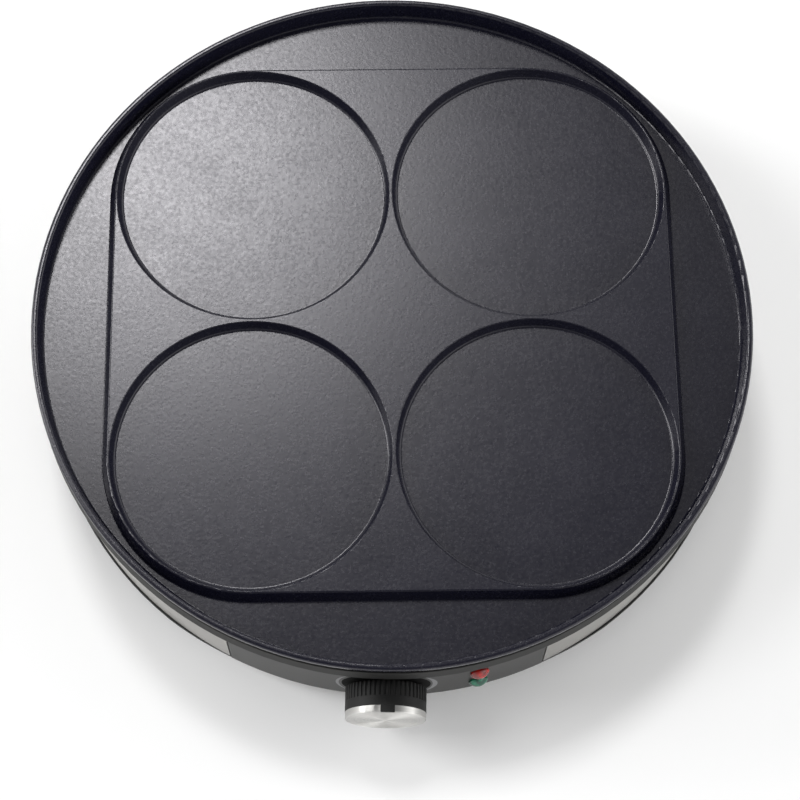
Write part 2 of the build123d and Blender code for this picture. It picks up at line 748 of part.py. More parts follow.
def base_pan():
    """Moulded base: floor, wall, legs, towers, screw bosses and vents."""
    rib_outer = band_inner_radius - fit_gap
    base = turned([
        (0, wall_bottom_z, 0),
        (base_flange_radius, wall_bottom_z, 1.0),
        (base_flange_radius, base_floor_z - 0.1, 0.4),
        (rib_outer, base_floor_z - 0.1, 0),
        (rib_outer, base_floor_z + band_rib_height, 0),
        (rib_outer - band_rib_thickness, base_floor_z + band_rib_height, 0),
        (rib_outer - band_rib_thickness, base_floor_z, 0),
        (base_wall_radius, base_floor_z, 0),
        (base_wall_radius, base_wall_top_z, 0.5),
        (base_wall_inner_radius, base_wall_top_z, 0.5),
        (base_wall_inner_radius, base_floor_z, 0),
        (0, base_floor_z, 0),
    ])
    base -= front_sector(panel_half_angle + seam_angle * 0.6, panel_inner_radius - 0.2,
                         base_flange_radius + 1, wall_bottom_z - 1, base_floor_z + band_rib_height + 1)
    base -= front_sector(front_gap_half_angle, base_wall_inner_radius - 1, base_wall_radius + 1,
                         base_floor_z + front_gap_sill, base_wall_top_z + 1)
    base &= rod(upright(Vector(0, runout_shift, wall_bottom_z - 1)), runout_radius, base_wall_top_z)
    for bearing in leg_bearings:
        centre = spot(bearing, leg_circle_radius, (leg_bottom_z + base_floor_z) / 2)
        base += Pos(centre) * Cone(leg_bottom_radius, leg_top_radius, base_floor_z - leg_bottom_z)
        seat = upright(spot(bearing, leg_circle_radius, leg_bottom_z))
        base -= rod(seat, foot_radius + foot_clearance, foot_seat_depth)
    for bearing in fixing_bearings:
        level = upright(spot(bearing, fixing_circle_radius, base_floor_z - 1))
        base += rod(level, tower_radius, tower_top_z - base_floor_z + 1)
        below = upright(spot(bearing, fixing_circle_radius, wall_bottom_z - 1))
        base -= rod(below, plate_screw_radius + screw_clearance, tower_top_z - wall_bottom_z + 2)
        base -= rod(below, plate_screw_head_radius + 0.5, tower_seat_z - wall_bottom_z + 1)
    for side in (-1, 1):
        hole = outward(side * panel_pad_bearing, base_wall_inner_radius - 2, panel_pad_z)
        base -= rod(hole, panel_screw_radius + screw_clearance, base_wall_thickness + 4)
    head_seat = wall_bottom_z + base_screw_head_height + 0.3
    for bearing in pillar_bearings:
        below = upright(spot(bearing, pillar_circle_radius, wall_bottom_z - 1))
        level = upright(spot(bearing, pillar_circle_radius, base_floor_z - 1))
        base += rod(level, base_screw_head_radius + 1.6, 4)
        base -= rod(below, base_screw_radius + screw_clearance, 10)
        base -= rod(below, base_screw_head_radius + 0.4, head_seat - wall_bottom_z + 1)
    for x in (-bracket_screw_spacing / 2, bracket_screw_spacing / 2):
        y = body_front_y + bracket_screw_inset
        base += rod(upright(Vector(x, y, base_floor_z - 1)), bracket_boss_radius, bracket_foot_height + 1)
        base -= rod(upright(Vector(x, y, wall_bottom_z + 1)), small_screw_radius + fit_gap / 2, 8)
    for x in (-block_way_spacing / 2, block_way_spacing / 2):
        y = block_rear_y - block_length / 2
        base -= rod(upright(Vector(x, y, wall_bottom_z + 1)), small_screw_radius + fit_gap / 2, 8)
    slot = Pos(vent_circle_radius, 0) * SlotOverall(vent_length, vent_width)
    vents = Sketch() + [Rot(0, 0, i * 360 / vent_count) * slot for i in range(vent_count)]
    base -= extrude(Pos(0, 0, wall_bottom_z - 1) * vents, base_floor_thickness + 2)
    passage = rod(outward(180, base_wall_inner_radius - 2, gland_z), gland_body_radius + fit_gap, 10)
    return base - passage


def base_screws():
    """Six screws from the base into the pillars of the shoulder ring."""
    seat = wall_bottom_z + base_screw_head_height + 0.3
    screws = [screw(upright(spot(bearing, pillar_circle_radius, seat)), base_screw_radius,
                    base_screw_length, base_screw_head_radius, base_screw_head_height)
              for bearing in pillar_bearings]
    return Compound(children=screws)


def rubber_feet():
    """Four pads pressed into the legs."""
    pads = []
    for bearing in leg_bearings:
        pad = rod(upright(spot(bearing, leg_circle_radius, 0)), foot_radius, leg_bottom_z + foot_seat_depth)
        pads.append(fillet(pad.edges().group_by(Axis.Z)[0], foot_rounding))
    return Compound(children=pads)


def facing_front(y):
    """Plane across the knob axis, facing -Y, with its own Y axis pointing up."""
    return Plane(origin=(0, y, knob_axis_z), x_dir=(1, 0, 0), z_dir=(0, -1, 0))


def knob_body():
    """Hollow knob: flutes, smooth collar, hub with a D bore, and a pointer tongue."""
    rear = facing_front(knob_rear_y)
    length = knob_length - knob_cap_thickness
    room = length - knob_shell_thickness
    knob = rod(rear, knob_radius, length)
    knob = chamfer(knob.edges().group_by(Axis.Y)[-1], 0.5)
    centre_radius = knob_radius + knob_flute_radius - knob_flute_depth
    flute = Pos(centre_radius, 0) * Circle(knob_flute_radius)
    flutes = Sketch() + [Rot(0, 0, i * 360 / knob_flute_count) * flute for i in range(knob_flute_count)]
    knob -= extrude(rear.offset(-1) * flutes, length - knob_collar_length + 1)
    knob -= rod(rear, knob_radius - knob_shell_thickness, room)
    knob += rod(rear.offset(knob_hub_inset), knob_hub_radius, room - knob_hub_inset + 1)
    bore_radius = shaft_radius + running_clearance
    flat = shaft_flat_height + spring_thickness
    bore = Circle(bore_radius) - Pos(0, flat + 5) * Rectangle(20, 10)
    knob -= extrude(rear * bore, room)
    knob -= rod(facing_front(cap_rear_y).offset(-knob_cap_spigot_length - 0.1),
                knob_cap_spigot_radius + fit_gap, 5)
    tongue_low = knob_radius - pointer_depth + fit_gap / 2
    tongue = Pos(0, tongue_low + 2) * Rectangle(pointer_width - fit_gap, 4) & Circle(knob_radius - 0.1)
    tongue = Rot(0, 0, -pointer_turn) * tongue
    knob += extrude(facing_front(cap_rear_y + 0.5) * tongue, knob_cap_thickness + 0.4)
    return knob


def knob_cap():
    """Spun metal cap with a notch for the pointer and a spigot behind."""
    rear = facing_front(cap_rear_y)
    cap = rod(rear, knob_radius - 0.05, knob_cap_thickness)
    cap = fillet(cap.edges().group_by(Axis.Y)[0], knob_cap_rounding)
    notch = Pos(0, knob_radius - pointer_depth + 5) * Rectangle(pointer_width, 10)
    notch = Rot(0, 0, -pointer_turn) * notch
    cap -= extrude(rear.offset(-1) * notch, knob_cap_thickness + 2)
    cap += rod(rear, knob_cap_spigot_radius, -knob_cap_spigot_length)
    return cap


def knob_spring():
    """Leaf between the flat of the shaft and the flat of the bore."""
    low = knob_axis_z + shaft_flat_height
    return block(-spring_width / 2, spring_width / 2, cap_rear_y + 3.6, knob_rear_y - 1.6,
                 low, low + spring_thickness)


def control_shaft():
    """Shaft with a flat in front, a collar in the body and a threaded bore behind."""
    shaft = rod(facing_back(shaft_front_y), shaft_radius, shaft_rear_y - shaft_front_y)
    shaft = chamfer(shaft.edges().group_by(Axis.Y)[0], 0.4)
    low = knob_axis_z + shaft_flat_height
    shaft -= block(-5, 5, shaft_front_y - 1, shaft_front_y + shaft_flat_length, low, low + 5)
    shaft += rod(facing_back(collar_front_y), shaft_collar_radius, shaft_collar_length)
    shaft -= rod(facing_back(shaft_rear_y), pin_radius + running_clearance, -pin_thread_depth)
    return shaft


def adjusting_pin():
    """Pin that screws out of the shaft; its square key keeps it from turning."""
    front = shaft_rear_y - pin_engagement
    pin = rod(facing_back(front), pin_radius, pin_length)
    key = facing_back(shaft_rear_y + pin_key_offset) * Rectangle(pin_key_size, pin_key_size)
    return pin + extrude(key, pin_key_length)


def thermostat_body():
    """Switch block with a diaphragm can behind it."""
    half = body_width / 2
    body = block(-half, half, body_front_y, body_rear_y, body_bottom_z, body_top_z)
    body = fillet(body.edges().filter_by(Axis.Y), body_rounding)
    can = facing_back(body_rear_y, 0, can_z)
    body += rod(can, diaphragm_radius, diaphragm_length)
    recess_end = body_front_y + bush_insertion
    body -= rod(facing_back(body_front_y), bush_radius + bush_clearance, bush_insertion)
    body -= rod(facing_back(recess_end), shaft_collar_radius + collar_clearance, collar_space)
    bore_length = shaft_rear_y + 1 - recess_end
    body -= rod(facing_back(recess_end), shaft_radius + running_clearance, bore_length)
    slot = pin_key_size + 2 * running_clearance
    slot_length = pin_length - pin_engagement - 1 + pin_room
    body -= extrude(facing_back(shaft_rear_y + 1) * Rectangle(slot, slot), slot_length)
    return body


def thermostat_tabs():
    """Two push-on tabs at the sides of the thermostat."""
    middle_z = knob_axis_z - body_tab_drop
    middle_y = body_front_y + body_tab_place
    tabs = []
    for side in (-1, 1):
        root = side * body_width / 2
        tip = root + side * body_tab_projection
        blade = block(min(root, tip), max(root, tip), middle_y - element_tab_width / 2,
                      middle_y + element_tab_width / 2,
                      middle_z - tab_thickness / 2, middle_z + tab_thickness / 2)
        blade -= Pos(root + side * 4.5, middle_y, middle_z) * Cylinder(0.9, 4)
        tabs.append(blade)
    return Compound(children=tabs)


def thermostat_bush():
    """Threaded bush that the shaft runs in."""
    length = body_front_y + bush_insertion - bush_front_y
    bush = rod(facing_back(bush_front_y), bush_radius, length)
    bush = chamfer(bush.edges().group_by(Axis.Y)[0], 0.5)
    return bush - rod(facing_back(bush_front_y - 1), shaft_radius + running_clearance, length + 2)


def bush_nut():
    """Hexagonal nut that clamps the bush to the bracket."""
    plane = facing_back(bracket_front_y - nut_thickness)
    across = RegularPolygon(nut_across_flats / 2, 6, major_radius=False)
    nut = extrude(plane * across, nut_thickness)
    return nut - rod(plane, bush_radius + bush_clearance, nut_thickness)


def thermostat_bracket():
    """Folded bracket: an upright face and a foot under the thermostat."""
    half = bracket_width / 2
    bracket = block(-half, half, bracket_front_y, body_front_y, bracket_foot_z, bracket_top_z)
    foot_end = body_front_y + bracket_foot_length
    foot_top_z = bracket_foot_z + bracket_thickness
    bracket += block(-half, half, bracket_front_y, foot_end, bracket_foot_z, foot_top_z)
    bracket = fillet(bracket.edges().filter_by(Axis.Y).group_by(Axis.Z)[-1], bracket_rounding)
    bracket -= rod(facing_back(bracket_front_y - 1), bush_radius + bush_clearance, 3)
    for x in (-bracket_screw_spacing / 2, bracket_screw_spacing / 2):
        hole = upright(Vector(x, body_front_y + bracket_screw_inset, bracket_foot_z - 1))
        bracket -= rod(hole, small_screw_radius + small_screw_clearance, 4)
    return bracket


def small_screw(point, length, up=False):
    """M3 screw with its head on the given point."""
    plane = Plane(origin=point, x_dir=(1, 0, 0), z_dir=(0, 0, 1 if up else -1))
    return screw(plane, small_screw_radius, length, small_screw_head_radius, small_screw_head_height)


def bracket_screws():
    """Two screws through the foot of the bracket."""
    level = bracket_foot_z + bracket_thickness
    y = body_front_y + bracket_screw_inset
    return Compound(children=[small_screw((x, y, level), 4.0)
                              for x in (-bracket_screw_spacing / 2, bracket_screw_spacing / 2)])


def held_z(radius):
    """Height of the axis of a round piece held against the underside of the plate."""
    return plate_under_z - fit_gap / 2 - radius


def sensor_bulb():
    """Bulb under the plate, with its capillary down to the thermostat."""
    z = held_z(bulb_radius)
    rear = body_rear_y + diaphragm_length
    bulb = rod(facing_back(bulb_front_y, 0, z), bulb_radius, bulb_length)
    bulb = fillet(bulb.edges().group_by(Axis.Y)[0] + bulb.edges().group_by(Axis.Y)[-1], 1.4)
    path = FilletPolyline((0, rear, can_z), (0, sensor_hole_y, can_z), (0, sensor_hole_y, z),
                          (0, bulb_front_y + 1, z), radius=capillary_bend)
    return bulb + tube_along(path, capillary_radius)


def strap(radius, y):
    """P-shaped clip that holds a round piece against the plate."""
    z = held_z(radius)
    inner = radius + fit_gap / 2
    outer = inner + clip_thickness
    top = plate_under_z - 0.05
    section = Circle(outer) - Circle(inner)
    section -= Pos(0, outer) * Rectangle(4 * outer, 2 * outer)
    for side in (-1, 1):
        middle = side * (inner + clip_thickness / 2)
        section += Pos(middle, (top - z) / 2) * Rectangle(clip_thickness, top - z)
    foot_end = inner + clip_foot_length
    section += Pos((inner + foot_end) / 2, top - z - clip_thickness / 2) * Rectangle(
        foot_end - inner, clip_thickness)
    plane = Plane(origin=(0, y + clip_width / 2, z), x_dir=(1, 0, 0), z_dir=(0, -1, 0))
    clip = extrude(plane * section, clip_width)
    hole = upright(Vector(clip_screw_offset, y, top - clip_thickness - 1))
    return clip - rod(hole, small_screw_radius + small_screw_clearance, 3)


def bulb_clips():
    """Two clips on the bulb."""
    return Compound(children=[strap(bulb_radius, y) for y in clip_places()[:2]])


def fuse_clip():
    """Clip on the fuse."""
    return strap(fuse_radius, clip_places()[2])


def clip_screws():
    """Screws of the three clips."""
    level = plate_under_z - 0.05 - clip_thickness
    return Compound(children=[small_screw((clip_screw_offset, y, level), clip_screw_length, up=True)
                              for y in clip_places()])


def thermal_fuse():
    """Cut-out cartridge under the plate."""
    z = held_z(fuse_radius)
    fuse = rod(facing_back(fuse_y, 0, z), fuse_radius, fuse_length)
    return fillet(fuse.edges().group_by(Axis.Y)[0] + fuse.edges().group_by(Axis.Y)[-1], 0.8)


def lens(z):
    """Domed indicator lens with a hollow stem through the panel."""
    rise = lens_rim_height + lens_dome_height
    rim = lens_rim_height
    ball = (lens_radius ** 2 + lens_dome_height ** 2) / (2 * lens_dome_height)
    half_turn = asin(lens_radius / ball) / 2
    side = ball * sin(half_turn)
    swell = rise - ball + ball * cos(half_turn)
    bore_end = -lens_crown
    outline = Polyline((0, rise), (0, bore_end), (lens_bore_radius, bore_end),
                       (lens_bore_radius, -lens_stem_length), (lens_stem_radius, -lens_stem_length),
                       (lens_stem_radius, 0), (lens_radius, 0), (lens_radius, rim))
    outline += ThreePointArc((lens_radius, rim), (side, swell), (0, rise))
    shape = revolve(Plane.XZ * make_face(outline), Axis.Z)
    return outward(lamp_bearing, panel_outer_radius + 0.03, z).location * shape


def lens_washers():
    """Push-on washers that hold the lenses from behind."""
    washers = []
    for z in (red_z, green_z):
        plane = outward(lamp_bearing, panel_inner_radius - 0.15, z)
        ring = rod(plane, washer_radius, -washer_thickness)
        washers.append(ring - rod(plane, lens_stem_radius + fit_gap / 2, -washer_thickness))
    return Compound(children=washers)


def neon_lamps():
    """Glass lamps in the stems of the lenses."""
    lamps = []
    for z in (red_z, green_z):
        front = outward(lamp_bearing, panel_outer_radius - lens_stem_length + lamp_insertion, z)
        lamp = rod(front, lamp_radius, -lamp_length)
        lamps.append(fillet(lamp.edges().filter_by(GeomType.CIRCLE), 1.0))
    return Compound(children=lamps)


def terminal_block():
    """Three-way block on the floor of the base."""
    half = block_width / 2
    low = base_floor_z
    body = block(-half, half, block_front_y, block_rear_y, low, low + block_height)
    body = fillet(body.edges().filter_by(Axis.Z), 1.5)
    middle_z = low + block_height / 2
    for way in (-1, 0, 1):
        body -= rod(facing_back(block_front_y - 1, way * block_way_spacing, middle_z), block_way_radius,
                    block_length + 2)
    for x in (-block_way_spacing / 2, block_way_spacing / 2):
        y = block_rear_y - block_length / 2
        body -= rod(upright(Vector(x, y, low - 1)), small_screw_radius + small_screw_clearance,
                    block_height + 2)
    return body


def block_screws():
    """Two screws that hold the terminal block."""
    y = block_rear_y - block_length / 2
    level = base_floor_z + block_height
    return Compound(children=[small_screw((x, y, level), block_height + 1.2)
                              for x in (-block_way_spacing / 2, block_way_spacing / 2)])


def cord_gland():
    """Bush in the rear wall that the supply cord would pass through."""
    outer = outward(180, gland_outer_y, gland_z)
    gland = rod(outer, gland_body_radius, -gland_length)
    flange = rod(outer, gland_flange_radius, -gland_flange_thickness)
    flange = fillet(flange.edges().group_by(Axis.Y)[-1], 0.8)
    gland += flange
    collar = outward(180, base_wall_inner_radius - 0.4, gland_z)
    gland += rod(collar, gland_flange_radius - 1, -gland_flange_thickness)
    return gland - rod(outer.offset(1), gland_bore_radius, -gland_length - 2)


def wire(points, radius, bend):
    """Wire through the given points, with rounded corners."""
    return tube_along(FilletPolyline(*points, radius=bend), radius)


def way_point(way, depth):
    """Point on the axis of a way of the terminal block, counted from its front face."""
    return (way * block_way_spacing, block_front_y + depth, base_floor_z + block_height / 2)


def tab_end(side):
    """Point just outside the tip of a thermostat tab."""
    reach = body_width / 2 + body_tab_projection + wire_tab_gap
    return (side * reach, body_front_y + body_tab_place, knob_axis_z - body_tab_drop)


def below_element(side, drop):
    """Point below the tab of a cold end."""
    foot = element_leg(side)
    return (foot.X, foot.Y, foot.Z - element_pin_length - element_tab_length - wire_tab_gap - drop)


def live_wire():
    """Wire from the terminal block to the thermostat."""
    floor = base_floor_z + wire_floor_gap + wire_radius
    end = tab_end(-1)
    return wire([way_point(-1, 4), way_point(-1, -9), (-24, block_front_y - 28, floor), (-40, 0, floor),
                 (-40, end[1] + 26.8, floor), (-42, end[1] + 10.8, end[2] - 4), (-39, end[1], end[2]),
                 end], wire_radius, 3.0)


def switched_wire():
    """Wire from the thermostat to one end of the element."""
    end = tab_end(1)
    low = base_floor_z + 7.5
    return wire([end, (38, end[1], end[2]), (38, end[1] + 18.8, low), below_element(1, 8),
                 below_element(1, 0)], wire_radius, 3.5)


def neutral_wires():
    """Wire from the terminal block to the fuse, and from the fuse to the element."""
    z = held_z(fuse_radius)
    (hole_x, hole_y), (exit_x, exit_y) = fuse_wire_holes()
    fuse_rear = fuse_y + fuse_length + 0.2
    low = below_element(-1, 8)
    middle = (low[0], low[1] + 39.5, base_floor_z + 7.5)
    first = wire([way_point(1, 4), way_point(1, -10), (22, block_front_y - 28, base_floor_z + 9.5),
                  (hole_x, hole_y, base_floor_z + 17.5), (hole_x, hole_y, z - 1), (0, fuse_rear + 10, z),
                  (0, fuse_rear, z)], wire_radius, 3.5)
    second = wire([(0, fuse_y - 0.2, z), (0, fuse_y - 11, z), (exit_x, exit_y, z - 1),
                   (exit_x, exit_y, base_floor_z + 19.5), middle, low, below_element(-1, 0)],
                  wire_radius, 3.5)
    return Compound(children=[first, second])


def earth_wire():
    """Wire from the terminal block to the earth tag."""
    rear = fixing_circle_radius + 10
    return wire([way_point(0, 4), way_point(0, -7), (0, rear + 12, tag_wire_z), (0, rear, tag_wire_z)],
                wire_radius, 3.0)


def lamp_leads():
    """Two leads from each lamp to the terminal block."""
    leads = []
    lamp_end = panel_outer_radius - lens_stem_length + lamp_insertion - lamp_length - 0.1
    floor = base_floor_z + wire_floor_gap + lead_radius
    turn_y = -(lamp_end - 24.2)
    block_side = block_width / 2 - 1
    for number in range(4):
        z = (red_z, green_z)[number // 2]
        aside = 0.9 if number % 2 else -0.9
        bearing = lamp_bearing + degrees(asin(aside / lamp_end))
        start = spot(bearing, lamp_end, z)
        inner = spot(bearing, lamp_end - 5, z)
        lane = 46.0 + 1.8 * number
        height = base_floor_z + 3 + 2.2 * number
        leads.append(wire([start, inner, (lane, turn_y, z), (lane, turn_y + 12, floor), (lane, 40, floor),
                           (26 + 1.8 * number, block_front_y - 20, height),
                           (block_side, block_front_y - 8, height),
                           (block_side, block_front_y - 0.1, height)], lead_radius, 2.0))
    return Compound(children=leads)


pieces = {
    "baking_plate": baking_plate,
    "heating_element": heating_element,
    "element_beads": element_beads,
    "element_tabs": element_tabs,
    "heat_shield": heat_shield,
    "plate_spacers": plate_spacers,
    "spacer_washers": spacer_washers,
    "earth_tag": earth_tag,
    "plate_screws": plate_screws,
    "shoulder_ring": shoulder_ring,
    "steel_band": steel_band,
    "front_panel": front_panel,
    "panel_screws": panel_screws,
    "base_pan": base_pan,
    "base_screws": base_screws,
    "rubber_feet": rubber_feet,
    "knob_body": knob_body,
    "knob_cap": knob_cap,
    "knob_spring": knob_spring,
    "control_shaft": control_shaft,
    "adjusting_pin": adjusting_pin,
    "thermostat_body": thermostat_body,
    "thermostat_tabs": thermostat_tabs,
    "thermostat_bush": thermostat_bush,
    "bush_nut": bush_nut,
    "thermostat_bracket": thermostat_bracket,
    "bracket_screws": bracket_screws,
    "sensor_bulb": sensor_bulb,
    "bulb_clips": bulb_clips,
    "fuse_clip": fuse_clip,
    "clip_screws": clip_screws,
    "thermal_fuse": thermal_fuse,
    "red_lens": lambda: lens(red_z),
    "green_lens": lambda: lens(green_z),
    "lens_washers": lens_washers,
    "neon_lamps": neon_lamps,
    "terminal_block": terminal_block,
    "block_screws": block_screws,
    "cord_gland": cord_gland,
    "live_wire": live_wire,
    "switched_wire": switched_wire,
    "neutral_wires": neutral_wires,
    "earth_wire": earth_wire,
    "lamp_leads": lamp_leads,
}

os.makedirs("parts", exist_ok=True)
for name, make in pieces.items():
    save(name, make())
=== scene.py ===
"""Electric crepe maker with a four-hollow cast plate: finishes, visual pieces, studio and camera."""

import logging
import math
from dataclasses import dataclass
from enum import Enum

import bmesh
import bpy
from mathutils import Matrix, Vector


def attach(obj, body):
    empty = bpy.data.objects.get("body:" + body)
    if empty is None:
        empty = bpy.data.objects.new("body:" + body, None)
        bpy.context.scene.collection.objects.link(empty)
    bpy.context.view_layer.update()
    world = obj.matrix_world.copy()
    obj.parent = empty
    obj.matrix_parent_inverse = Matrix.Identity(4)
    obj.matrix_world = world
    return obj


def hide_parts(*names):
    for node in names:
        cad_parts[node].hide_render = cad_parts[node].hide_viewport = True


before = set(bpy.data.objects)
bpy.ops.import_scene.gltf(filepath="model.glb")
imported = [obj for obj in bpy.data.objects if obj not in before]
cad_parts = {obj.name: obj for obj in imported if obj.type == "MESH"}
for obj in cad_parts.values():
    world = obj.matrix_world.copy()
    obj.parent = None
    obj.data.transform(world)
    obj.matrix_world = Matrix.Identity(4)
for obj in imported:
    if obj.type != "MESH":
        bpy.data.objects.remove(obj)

log = logging.getLogger("crepe_maker")

Tree = bpy.types.NodeTree
Node = bpy.types.Node
Socket = bpy.types.NodeSocket
Colour = tuple[float, float, float, float]

MM = 0.001
AXIS_Y = 6.55 * MM
KNOB_AXIS_Z = 30.5 * MM
KNOB_REAR_Y = -152.75 * MM
SHARP_ANGLE = math.radians(34)
GRAIN_NOISE = {"Detail": 2.0, "Roughness": 0.6}
WHITE = (1.0, 1.0, 1.0, 1.0)
BLACK = (0.0, 0.0, 0.0, 1.0)


class Body(Enum):
    """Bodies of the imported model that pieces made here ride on."""

    HOUSING = "housing"
    KNOB = "knob"


class Lay(Enum):
    """Way in which the fine lines of a worked metal run."""

    AROUND_BODY = "around the upright axis"
    AROUND_KNOB = "around the knob's axis"
    ALONG_X = "along X"


def linear(hex_colour: str, share: float = 1.0) -> Colour:
    """Turn an sRGB hex colour into linear values.

    Args:
        hex_colour: Colour as "#rrggbb".
        share: Share of its light that is kept.

    Returns:
        Linear red, green and blue, and 1 as the fourth value.
    """
    text = hex_colour.lstrip("#")
    values = [int(text[i : i + 2], 16) / 255 for i in (0, 2, 4)]
    red, green, blue = (v / 12.92 if v <= 0.04045 else ((v + 0.055) / 1.055) ** 2.4 for v in values)
    return share * red, share * green, share * blue, 1.0


def feed(tree: Tree, node: Node, inputs: dict) -> None:
    """Link or set the inputs of a node.

    Args:
        tree: Node tree.
        node: Node that is fed.
        inputs: Socket name or number to a value, or to the output socket that feeds it.
    """
    for key, value in inputs.items():
        if isinstance(value, Socket):
            tree.links.new(value, node.inputs[key])
        else:
            node.inputs[key].default_value = value


def add(tree: Tree, kind: str, inputs: dict | None = None, **settings: object) -> Node:
    """Add a node with its settings and its inputs.

    Args:
        tree: Node tree that the node goes into.
        kind: Node's type name.
        inputs: Socket name or number to a value, or to the output socket that feeds it.
        settings: Node properties by name.

    Returns:
        The new node.
    """
    node = tree.nodes.new(kind)
    for name, value in settings.items():
        setattr(node, name, value)
    feed(tree, node, inputs or {})
    return node


def calc(tree: Tree, work: str, *values: Socket | float, clamp: bool = False) -> Socket:
    """Return the socket of a number that is worked out from others."""
    return add(tree, "ShaderNodeMath", dict(enumerate(values)), operation=work, use_clamp=clamp).outputs[0]


def vector(tree: Tree, work: str, *values: Socket | tuple[float, float, float]) -> Socket:
    """Return the socket of what is worked out from vectors: a number for a length, and else a vector."""
    node = add(tree, "ShaderNodeVectorMath", dict(enumerate(values)), operation=work)
    return node.outputs["Value" if work == "LENGTH" else "Vector"]


def join(tree: Tree, x: Socket | float = 0.0, y: Socket | float = 0.0, z: Socket | float = 0.0) -> Socket:
    """Return the socket of the vector that has these three parts."""
    return add(tree, "ShaderNodeCombineXYZ", {"X": x, "Y": y, "Z": z}).outputs[0]


def split(tree: Tree, point: Socket) -> bpy.types.bpy_prop_collection:
    """Return the sockets of a vector's three parts, by X, Y and Z."""
    return add(tree, "ShaderNodeSeparateXYZ", {"Vector": point}).outputs


def remap(
    tree: Tree,
    value: Socket,
    low: float,
    high: float,
    start: float = 0.0,
    end: float = 1.0,
    curve: str = "LINEAR",
) -> Socket:
    """Spread a range of a value over another range, and hold it at the ends.

    Args:
        tree: Node tree.
        value: Socket with the value.
        low: Result at the start of the range.
        high: Result at its end.
        start: Value that the range starts at.
        end: Value that it ends at.
        curve: Name of the interpolation.

    Returns:
        Socket with the result.
    """
    inputs = {"Value": value, "From Min": start, "From Max": end, "To Min": low, "To Max": high}
    return add(tree, "ShaderNodeMapRange", inputs, interpolation_type=curve).outputs["Result"]


def blend(tree: Tree, share: Socket, first: Socket | Colour, second: Socket | Colour) -> Socket:
    """Return the socket of a colour that goes from the first to the second as the share goes to 1."""
    return add(tree, "ShaderNodeMix", {"Factor": share, 6: first, 7: second}, data_type="RGBA").outputs[2]


def clouds(tree: Tree, point: Socket, size: float, detail: float) -> Socket:
    """Return the socket of a noise whose clouds are about this many metres across."""
    inputs = {"Vector": point, "Scale": 1 / size, "Detail": detail}
    return add(tree, "ShaderNodeTexNoise", inputs).outputs["Fac"]


def object_point(tree: Tree) -> Socket:
    """Return the socket that gives the point on the piece, in metres."""
    return add(tree, "ShaderNodeTexCoord").outputs["Object"]


def ramp(tree: Tree, value: Socket, *stops: tuple[float, str | Colour]) -> Socket:
    """Map a value to colours.

    Args:
        tree: Node tree.
        value: Socket with the value.
        stops: Positions from 0 to 1, each with its colour, as "#rrggbb" or as linear values.

    Returns:
        Socket with the colour.
    """
    node = add(tree, "ShaderNodeValToRGB", {"Fac": value})
    elements = node.color_ramp.elements
    while len(elements) < len(stops):
        elements.new(0.5)
    for element, (position, colour) in zip(elements, stops):
        element.position = position
        element.color = linear(colour) if isinstance(colour, str) else colour
    return node.outputs["Color"]


def polar_point(tree: Tree, lay: Lay, radius: float) -> Socket:
    """Unroll the point round an axis.

    Args:
        tree: Node tree.
        lay: Axis that the lines run round.
        radius: Radius at which the unrolled length is true, in metres.

    Returns:
        Socket with the length round the axis, the height along it and the distance from it, in metres.
    """
    parts = split(tree, object_point(tree))
    x, y, z = parts["X"], parts["Y"], parts["Z"]
    if lay is Lay.AROUND_BODY:
        across, up, along = x, calc(tree, "SUBTRACT", y, AXIS_Y), z
    else:
        across, up, along = x, calc(tree, "SUBTRACT", z, KNOB_AXIS_Z), y
    length = calc(tree, "MULTIPLY", calc(tree, "ARCTAN2", across, up), radius)
    reach = vector(tree, "LENGTH", join(tree, x=across, y=up))
    return join(tree, x=length, y=along, z=reach)


def surface_grain(tree: Tree, grain: float, height: float) -> Socket:
    """Give a surface a fine, even grain.

    Args:
        tree: Node tree.
        grain: Width of a grain, in metres.
        height: Height of a grain, in metres.

    Returns:
        Socket with the bumped normal.
    """
    inputs = {"Vector": object_point(tree), "Scale": 1 / grain} | GRAIN_NOISE
    noise = add(tree, "ShaderNodeTexNoise", inputs).outputs["Fac"]
    bump = add(tree, "ShaderNodeBump", {"Height": noise, "Distance": height, "Strength": 1.0})
    return bump.outputs["Normal"]


@dataclass(frozen=True)
class Finish:
    """Surface of a piece, named after its material and the process that made it."""

    name: str
    colour: str

    def material(self) -> bpy.types.Material:
        """Make the material, once.

        Returns:
            The finished material.
        """
        made = bpy.data.materials.get(self.name)
        if made is None:
            made = bpy.data.materials.new(self.name)
            made.use_nodes = True
            tree = made.node_tree
            tree.nodes.clear()
            shader = add(tree, "ShaderNodeBsdfPrincipled")
            add(tree, "ShaderNodeOutputMaterial", {"Surface": shader.outputs["BSDF"]})
            feed(tree, shader, self.inputs(tree))
        return made

    def inputs(self, tree: Tree) -> dict:
        """Return what feeds the shader: its inputs by name, each a value or a socket of the tree."""
        raise NotImplementedError


